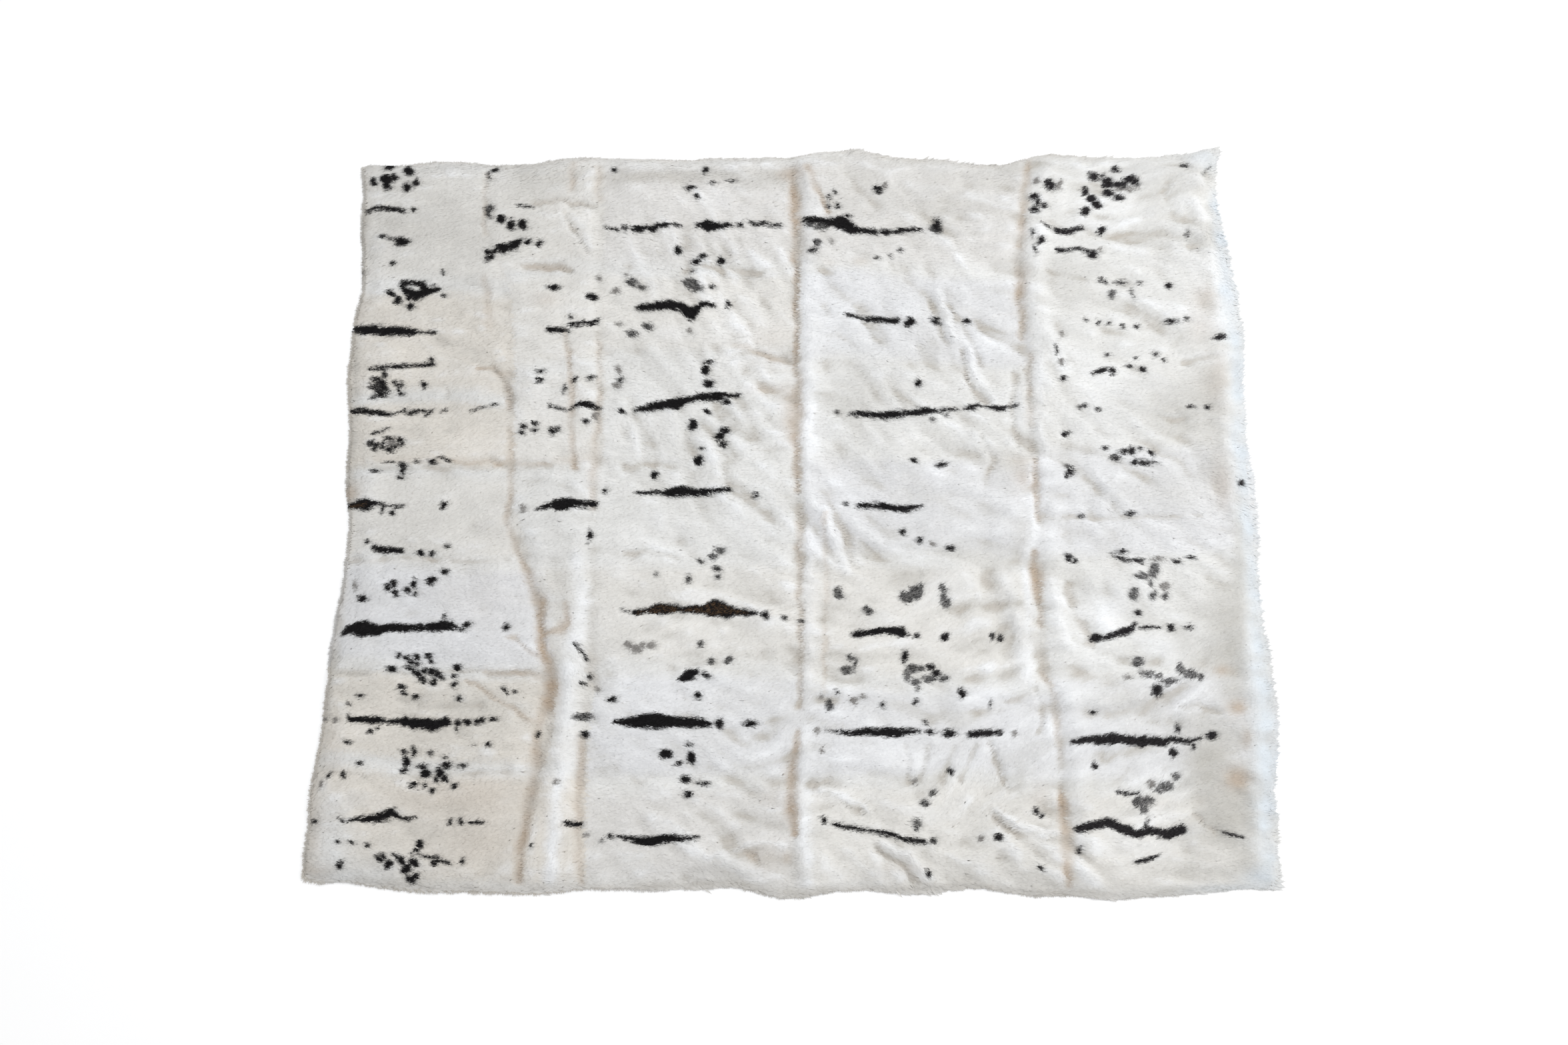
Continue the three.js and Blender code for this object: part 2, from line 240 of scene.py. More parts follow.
# how coarse each kind of streak is and how far it is drawn out, in metres
streaks = {
    "fine": (0.0012, 0.013), "broad": (0.004, 0.024), "clump": (0.0055, 0.012), "swoosh": (0.0085, 0.045),
    "swooshSwing": 1.5, "swooshTurn": 26,  # degrees across the lie of the coat
}
lieMap = makeLieMap()
swooshLie = lieMap * streaks["swooshSwing"] - math.radians(streaks["swooshTurn"])
grain = np.random.default_rng(5).uniform(-1, 1, mapX.shape)
fineStreaks = combAlong(soften(grain, streaks["fine"][0]), lieMap, streaks["fine"][1])
broadStreaks = combAlong(soften(grain[::-1, ::-1], streaks["broad"][0]), lieMap, streaks["broad"][1])
clumps = combAlong(soften(grain[::-1], streaks["clump"][0]), lieMap, streaks["clump"][1])
swooshes = combAlong(soften(grain[:, ::-1], streaks["swoosh"][0]), swooshLie, streaks["swoosh"][1])
print("lie of the coat mapped")

# creases: points in the photo's pixels, then depth and half width in mm; a minus depth is a raised fold
creases = [
    ([(803, 303), (845, 299), (892, 308)], 4, 6),
    ([(850, 321), (868, 350), (882, 379)], 4, 6),
    ([(786, 402), (818, 396), (852, 404)], 5, 7),
    ([(740, 553), (756, 572), (768, 602)], 5, 7),
    ([(740, 690), (770, 700), (830, 697)], 3, 6),
    ([(1028, 404), (1085, 400), (1142, 409)], 3, 6),
    ([(1091, 539), (1136, 530), (1197, 544)], 4, 6),
    ([(941, 827), (980, 831), (1018, 839)], 4, 6),
    ([(1236, 1190), (1262, 1200), (1290, 1217)], 4, 6),
    ([(1314, 1275), (1352, 1295), (1386, 1328)], 6, 6),
    ([(1322, 1265), (1362, 1284), (1396, 1316)], -4, 7),
    ([(1493, 1213), (1530, 1238), (1583, 1252)], -5, 6),
    ([(1489, 1224), (1528, 1250), (1578, 1262)], 5, 6),
    ([(1484, 868), (1508, 930), (1540, 1008)], 5, 14),
    ([(1600, 884), (1615, 920), (1636, 960)], 6, 12),
    ([(1566, 405), (1595, 409), (1624, 421)], 3, 6),
    ([(1776, 541), (1810, 539), (1845, 542)], 3, 6),
    ([(1752, 628), (1800, 626), (1845, 629)], 3, 6),
    ([(1562, 775), (1680, 778), (1800, 774)], 2.5, 6),
    ([(1525, 560), (1516, 610), (1528, 668)], 4, 7),
    ([(1470, 655), (1490, 690), (1478, 730)], 3, 7),
    ([(1425, 460), (1452, 500), (1470, 545)], 3, 7),
    ([(520, 700), (620, 704), (735, 699)], 2.5, 5),
    ([(505, 842), (620, 838), (760, 842)], 2.5, 5),
    ([(495, 1012), (640, 1010), (800, 1010)], 2.5, 5),
    ([(480, 1160), (620, 1166), (790, 1158)], 2.5, 5),
    ([(1404, 432), (1415, 470), (1431, 508)], -5, 9),
    ([(1392, 440), (1402, 480), (1418, 512)], 3, 8),
    ([(1452, 530), (1466, 565), (1490, 600)], -4, 8),
    ([(1442, 530), (1452, 570), (1480, 604)], 4, 7),
    ([(1422, 364), (1436, 385), (1453, 410)], -3, 9),
    ([(1540, 612), (1552, 640), (1568, 674)], -5, 10),
    ([(1562, 470), (1574, 510), (1594, 552)], -4, 14),
    ([(1057, 400), (1100, 409), (1145, 406), (1196, 396)], 3, 6),
    ([(1200, 400), (1236, 408), (1278, 420)], 3, 7),
    ([(1232, 766), (1248, 805), (1270, 855)], -4, 9),
    ([(1246, 760), (1264, 800), (1284, 850)], 3, 8),
    ([(1507, 868), (1520, 930), (1540, 1012)], -5, 15),
    ([(1476, 866), (1488, 920), (1512, 985)], 4, 14),
    ([(1573, 880), (1584, 920), (1602, 966)], -4, 13),
    ([(1638, 870), (1648, 910), (1660, 950)], -4, 13),
    ([(1359, 1118), (1361, 1146), (1365, 1176)], 3, 7),
    ([(1392, 1118), (1390, 1140), (1380, 1172)], 3, 7),
    ([(1464, 1120), (1456, 1146), (1442, 1170)], 4, 7),
    ([(1485, 1117), (1498, 1150), (1513, 1186), (1530, 1180)], 4, 7),
    ([(1430, 1120), (1424, 1146), (1414, 1172)], 3, 7),
    ([(1227, 1184), (1262, 1198), (1302, 1216)], -4, 7),
    ([(1486, 1052), (1530, 1046), (1554, 1037)], 3, 7),
    ([(1554, 1037), (1562, 1060), (1560, 1100)], 3, 7),
    ([(1791, 1221), (1806, 1236), (1824, 1249)], 4, 5),
    ([(1770, 1062), (1797, 1058), (1830, 1070)], 4, 6),
    ([(1668, 243), (1740, 246), (1775, 251), (1800, 254), (1819, 262)], 5, 6),
    ([(1795, 232), (1818, 226), (1834, 238)], -6, 16),
    ([(1756, 268), (1748, 290), (1760, 318)], 3, 8),
    ([(1760, 282), (1790, 310), (1806, 350)], -3, 9),
    ([(1784, 372), (1810, 366), (1838, 374)], 4, 7),
    ([(1270, 262), (1292, 290), (1318, 312)], 3, 10),
    ([(1340, 268), (1362, 290), (1384, 318)], 3, 10),
    ([(1440, 262), (1462, 284), (1492, 300)], 3, 10),
    ([(1090, 455), (1120, 480), (1138, 520)], 3, 9),
    ([(1110, 560), (1150, 584), (1190, 600)], 3, 9),
    ([(940, 700), (990, 694), (1040, 706)], 2.5, 8),
    ([(1060, 1285), (1104, 1276), (1142, 1264), (1176, 1272)], -4, 6),
    ([(1118, 1278), (1128, 1284), (1136, 1296)], 5, 6),
    ([(600, 1050), (660, 1062), (720, 1058)], 2.5, 8),
    ([(560, 500), (640, 512), (700, 508)], 2, 8),
]
foldWander = {  # how folds and seams stray from their lines: sway in photo pixels, sizes and margin in metres
    "sway": 3.2, "patchy": 0.5, "swaySize": 0.022, "quickSize": 0.011, "patchSize": 0.028,
    "margin": 0.05, "spread": 1.25,
}


def nearLine(px, py, line):
    # how far each place is from a drawn line, in pixels, and how wide the line is there
    far = np.full(px.shape, 1e9)
    wide = np.ones(px.shape)
    for start, end in zip(line[:-1], line[1:]):
        dx, dy = end[0] - start[0], end[1] - start[1]
        t = np.clip(((px - start[0]) * dx + (py - start[1]) * dy) / (dx * dx + dy * dy), 0, 1)
        gap = np.hypot(px - start[0] - t * dx, py - start[1] - t * dy)
        nearer = gap < far
        far = np.where(nearer, gap, far)
        if len(start) > 2:
            wide = np.where(nearer, start[2] + t * (end[2] - start[2]), wide)
    return far, wide


def mapWindow(points, margin):
    # the part of the maps round some photo points
    places = np.array([blanketPlace(p[0], p[1]) for p in points])
    low = (places.min(0) - margin - (mapArea["west"], mapArea["south"])) / mapArea["cell"]
    high = (places.max(0) + margin - (mapArea["west"], mapArea["south"])) / mapArea["cell"]
    low = np.maximum(low.astype(int), 0)
    high = np.maximum(high.astype(int) + 1, 1)
    return slice(low[1], high[1]), slice(low[0], high[0])


def cadHeights():
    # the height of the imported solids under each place, read on a coarser net
    trees = []
    for name in peltNames:
        mesh = frame["nodes"][name].data
        corners = [v.co for v in mesh.vertices]
        trees.append((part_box(name), BVHTree.FromPolygons(corners, [p.vertices for p in mesh.polygons])))
    step = 3  # squares of the maps
    above = 0.5  # metres, well over the fur
    coarse = np.zeros(mapX[::step, ::step].shape)
    down = Vector((0, 0, -1))
    for (low, high), tree in trees:
        rows = np.nonzero((mapY[::step, 0] >= low.y) & (mapY[::step, 0] <= high.y))[0]
        cols = np.nonzero((mapX[0, ::step] >= low.x) & (mapX[0, ::step] <= high.x))[0]
        for r in rows:
            y = mapY[r * step, 0]
            for c in cols:
                hit = tree.ray_cast(Vector((mapX[0, c * step], y, above)), down)
                if hit[0] is not None:
                    coarse[r, c] = max(coarse[r, c], hit[0].z)
    full = np.repeat(np.repeat(coarse, step, 0), step, 1)
    return full[: mapArea["rows"], : mapArea["columns"]]


coat = {
    "pile": 0.0012,  # from the underfur to the tips
    "lump": 0.0022, "lumpSize": 0.048, "smallLumpSize": 0.026, "ridgeLump": 0.0026, "ridgeLumpSize": 0.019,
    "clump": 0.0010, "broad": 0.0002, "swoosh": 0.0027, "ruffleSize": 0.11,  # some places lie smoother
    "seamEase": 0.35,  # how much softer the fur lies over the seams than the solids do
    "edgeBlur": 0.005, "levelBlur": 0.03, "innerBlur": 0.022, "rimBlur": 0.011, "shadeBlur": 0.003,
    "coveredAbove": 0.0005, "lowest": 0.001,
    "hollow": (0.016, 0.0035), "dimple": (0.007, 0.0014),  # blur that finds them, and their depth
    "flatWest": -0.50, "fullEast": -0.05,  # the west strips lie flatter
    "pixelsPerMetre": 850,  # of the photo, about the middle of the blanket
}

# lines in the photo along seams, folds and the rim: tan and greige are painted shade (tan partly the parted
# underfur), white a painted highlight, blue a painted bluish shade; (x, y, half width) in pixels, colour
# strength, and height in mm
paintedShadeAndHighlightLines = {
    "tan": [
        ([(1190, 256, 5), (1194, 330, 6), (1193, 390, 5)], 0.7, -3),
        ([(1195, 402, 4), (1194, 480, 4), (1196, 560, 4), (1195, 600, 6), (1190, 640, 9), (1195, 668, 5),
          (1196, 735, 5)], 0.72, -3),
        ([(1200, 760, 4), (1199, 850, 4), (1202, 950, 3), (1200, 1060, 4)], 0.4, -2),
        ([(1196, 1100, 4), (1187, 1165, 7), (1190, 1219, 7), (1190, 1252, 4)], 0.85, -3),
        ([(1213, 256, 6), (1219, 272, 7), (1228, 290, 4), (1242, 324, 3)], 0.6, -3),
        ([(811, 905, 7), (812, 950, 6), (815, 985, 6), (826, 1010, 9), (828, 1035, 10),
          (821, 1060, 10)], 0.75, -3),
        ([(821, 1060, 9), (807, 1085, 7), (803, 1110, 6), (807, 1140, 9), (800, 1160, 8), (788, 1230, 7),
          (779, 1290, 6), (777, 1325, 5)], 0.62, -3),
        ([(850, 905, 4), (852, 930, 5), (838, 948, 5), (820, 952, 4)], 0.6, -2),
        ([(700, 1022, 2), (735, 1041, 3), (768, 1062, 3), (803, 1087, 4)], 0.4, -2),
        ([(730, 1006, 4), (775, 1010, 4), (815, 1012, 5)], 0.35, -2),
        ([(765, 956, 3), (790, 972, 3), (812, 988, 4)], 0.25, -2),
        ([(728, 262, 3), (729, 353, 3)], 0.3, -2),
        ([(729, 420, 5), (735, 490, 5)], 0.28, -2),
        ([(720, 553, 2), (742, 553, 3), (755, 566, 4), (763, 588, 5), (766, 612, 4)], 0.66, -3),
        ([(676, 693, 2), (720, 694, 3), (768, 693, 3), (830, 694, 2)], 0.34, -1),
        ([(766, 646, 4), (766, 736, 4), (760, 783, 4), (782, 840, 5), (806, 905, 6)], 0.45, -2),
        ([(848, 500, 3), (858, 560, 4), (858, 640, 4), (862, 700, 4)], 0.45, -2),
        ([(897, 250, 4), (899, 300, 4)], 0.45, -2),
        ([(860, 246, 6), (858, 282, 4)], 0.45, -2),
        ([(896, 500, 3), (901, 583, 3), (897, 650, 4), (891, 690, 6), (892, 761, 5)], 0.42, -2),
        ([(873, 1107, 5), (871, 1159, 6), (867, 1230, 5), (868, 1325, 4)], 0.55, -2),
        ([(1545, 238, 4), (1538, 262, 5), (1532, 328, 5), (1529, 370, 4)], 0.5, -2),
        ([(1531, 405, 8), (1529, 440, 7), (1533, 505, 4)], 0.58, -3),
        ([(1545, 532, 4), (1543, 599, 4), (1546, 640, 4)], 0.35, -2),
        ([(1552, 690, 3), (1553, 735, 4), (1556, 782, 3)], 0.6, -2),
        ([(1553, 825, 3), (1556, 863, 8), (1559, 895, 4), (1560, 940, 3)], 0.65, -2),
        ([(1562, 1007, 4), (1577, 1032, 4), (1587, 1091, 4), (1590, 1139, 4)], 0.45, -2),
        ([(1100, 520, 4), (1150, 532, 5), (1190, 546, 4)], 0.32, -2),
        ([(1236, 770, 3), (1239, 900, 3), (1236, 1040, 3)], 0.3, -1),
        ([(1593, 1187, 4), (1597, 1222, 6), (1597, 1270, 8), (1606, 1330, 4)], 0.88, -3),
    ],
    "white": [
        ([(1203, 258, 5), (1210, 290, 9), (1217, 320, 13)], 0.75, 1.5),
        ([(1208, 400, 8), (1210, 500, 9), (1211, 560, 10), (1211, 600, 10), (1211, 650, 13),
          (1214, 674, 12)], 0.95, 1.5),
        ([(1211, 684, 7), (1212, 742, 7)], 0.6, 1.5),
        ([(1214, 800, 8), (1214, 1000, 8)], 0.4, 1),
        ([(1210, 1100, 9), (1206, 1160, 9), (1206, 1250, 10), (1210, 1325, 8)], 0.9, 1.5),
        ([(868, 836, 8), (872, 900, 14), (868, 950, 14), (853, 1000, 13), (850, 1060, 14),
          (850, 1130, 12), (836, 1190, 10), (834, 1260, 9), (826, 1325, 9)], 0.8, 1.5),
        ([(1549, 700, 7), (1549, 826, 7)], 0.8, 1.5),
        ([(1541, 835, 8), (1541, 960, 8), (1541, 1022, 13)], 0.7, 1.5),
        ([(1546, 440, 7), (1557, 500, 8), (1560, 600, 7)], 0.5, 1),
        ([(1575, 1040, 6), (1583, 1130, 6)], 0.4, 1),
        ([(1750, 622, 3), (1790, 627, 3), (1842, 626, 3)], 0.5, 1),
        ([(1612, 1200, 6), (1618, 1290, 7)], 0.5, 1),
        ([(1404, 432, 6), (1415, 470, 7), (1431, 508, 6)], 0.6, 0),
        ([(1452, 530, 5), (1466, 565, 6), (1490, 600, 6)], 0.55, 0),
        ([(1540, 612, 6), (1552, 640, 8), (1568, 674, 8)], 0.6, 0),
        ([(1562, 470, 10), (1574, 510, 11), (1594, 552, 10)], 0.5, 0),
        ([(1507, 868, 9), (1520, 930, 11), (1540, 1012, 12)], 0.6, 0),
        ([(1573, 880, 8), (1584, 920, 9), (1602, 966, 9)], 0.55, 0),
        ([(1638, 870, 8), (1648, 910, 10), (1660, 950, 9)], 0.55, 0),
        ([(1232, 766, 5), (1248, 805, 6), (1270, 855, 5)], 0.5, 0),
        ([(1496, 1216, 4), (1534, 1236, 5), (1580, 1250, 4)], 0.6, 0),
        ([(1322, 1264, 4), (1362, 1283, 5), (1396, 1315, 4)], 0.5, 0),
    ],
    "blue": [
        ([(1828, 290, 9), (1836, 360, 13), (1845, 430, 16), (1856, 520, 16), (1860, 600, 13),
          (1864, 700, 13), (1874, 800, 13), (1884, 900, 14), (1892, 1000, 17), (1900, 1100, 18),
          (1903, 1200, 18), (1904, 1310, 17)], 0.75, 0),
    ],
    "greige": [
        ([(457, 1302, 9), (470, 1190, 8), (490, 1050, 7), (512, 860, 7), (524, 700, 7), (528, 560, 7),
          (534, 440, 7), (545, 330, 7), (547, 262, 8)], 0.62, 0),
        ([(456, 1306, 11), (500, 1309, 12), (545, 1319, 10), (600, 1329, 8), (640, 1332, 6),
          (760, 1341, 6), (830, 1332, 6), (940, 1333, 6), (1083, 1326, 6), (1200, 1343, 6),
          (1283, 1334, 6), (1400, 1334, 6), (1530, 1340, 6), (1640, 1341, 6), (1696, 1349, 6),
          (1785, 1336, 6), (1880, 1336, 6)], 0.42, 0),
        ([(545, 254, 6), (602, 255, 6), (700, 247, 5), (840, 236, 5), (1028, 242, 5), (1203, 234, 5),
          (1315, 236, 5), (1440, 244, 5), (1582, 234, 5), (1732, 240, 5)], 0.3, 0),
    ],
}


def twoNoises(size, smallSize, seed):
    # broad bumps with smaller ones on them
    return smoothNoise(mapX, mapY, size, seed) + 0.6 * smoothNoise(mapX, mapY, smallSize, seed + 1)


swayX = foldWander["sway"] * twoNoises(foldWander["swaySize"], foldWander["quickSize"], 41)
swayY = foldWander["sway"] * twoNoises(foldWander["swaySize"], foldWander["quickSize"], 43)
patchy = 1 + foldWander["patchy"] * smoothNoise(mapX, mapY, foldWander["patchSize"], 45)


def swayedLine(px, py, line):
    # the part of the maps round a line, with how far each place is from it and how wide it is
    part = mapWindow(line, foldWander["margin"])
    return part, *nearLine(px[part] + swayX[part], py[part] + swayY[part], line)


def addLines(values, px, py, kind, share):
    # lays the soft lines of one kind on a map, by the strength of their painted shade or highlight, or by their
    # height
    for line, strength, height in paintedShadeAndHighlightLines[kind]:
        part, gap, wide = swayedLine(px, py, line)
        amount = strength if share == "strength" else height
        soft = amount * patchy[part] * np.exp(-(gap / (wide * foldWander["spread"])) ** 2)
        values[part] = np.maximum(values[part], soft) if share == "strength" else values[part] + soft / 1000


def makeTopMap():
    # the height of the fur at each place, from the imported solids, and how far inside the blanket it is, 0 to 1
    raw = cadHeights()
    covered = (raw > coat["coveredAbove"]).astype(float)
    inside = soften(covered, coat["edgeBlur"])
    top = soften(raw, coat["edgeBlur"]) / np.maximum(inside, 0.06)
    level = soften(raw, coat["levelBlur"]) / np.maximum(soften(covered, coat["levelBlur"]), 0.3)
    inner = smoothStep(soften(covered, coat["innerBlur"]), 0.88, 0.995)  # 1 well inside the rim
    top = top - coat["seamEase"] * inner * (top - level)
    top = top * smoothStep(inside, 0.01, 0.40)  # rounds over to the floor at the rim
    lumps = twoNoises(coat["lumpSize"], coat["smallLumpSize"], 21)
    ruffled = smoothStep(smoothNoise(mapX, mapY, coat["ruffleSize"], 23), -0.45, 0.5)
    relief = coat["lump"] * lumps + coat["broad"] * broadStreaks
    relief += coat["clump"] * (0.25 + 0.75 * ruffled) * (np.minimum(np.abs(clumps), 1.6) - 0.7)
    wavy = 0.30 + 0.70 * smoothStep(mapX, coat["flatWest"], coat["fullEast"])
    relief += coat["swoosh"] * wavy * (0.45 + 0.55 * ruffled) * np.clip(swooshes, -1.6, 1.6)
    px, py = photoPixel(mapX, mapY)
    for kind in ("tan", "white"):
        addLines(relief, px, py, kind, "height")
    ridges = np.zeros_like(relief)
    addLines(ridges, px, py, "white", "strength")
    relief += coat["ridgeLump"] * ridges * smoothNoise(mapX, mapY, coat["ridgeLumpSize"], 24)
    for line, depth, width in creases:
        part, gap, _ = swayedLine(px, py, line)
        gap = gap / coat["pixelsPerMetre"] * 1000 / width
        relief[part] -= depth / 1000 * patchy[part] * np.exp(-gap ** 2)
    return np.maximum(top + relief * smoothStep(inside, 0.2, 0.9), coat["lowest"]), inside


def lowestNear(values, steps):
    # the lowest of the values round each place, so many squares away
    return np.minimum.reduce([np.roll(values, (i, j), (0, 1)) for i in steps for j in steps])


def dipsOf(blur, depth):
    # above 0 where the fur lies lower than round about, and below 0 where it stands up
    return np.clip((soften(topMap, blur) - topMap) / depth, -1, 1.5) * (1 - rimNear)


topMap, insideMap = makeTopMap()
slopeY, slopeX = np.gradient(soften(topMap, coat["shadeBlur"]), mapArea["cell"])
rimNear = 1 - smoothStep(soften((insideMap > 0.5).astype(float), coat["rimBlur"]), 0.5, 0.97)
easyMap = lowestNear(soften(topMap, coat["edgeBlur"]), (-3, 0, 3))
lowMap = np.minimum(easyMap, lowestNear(topMap, (-5, -2, 0, 2, 5)) * (1 - rimNear) + easyMap * rimNear)
hollows = dipsOf(*coat["hollow"])
dimples = dipsOf(*coat["dimple"])
print("coat height mapped")

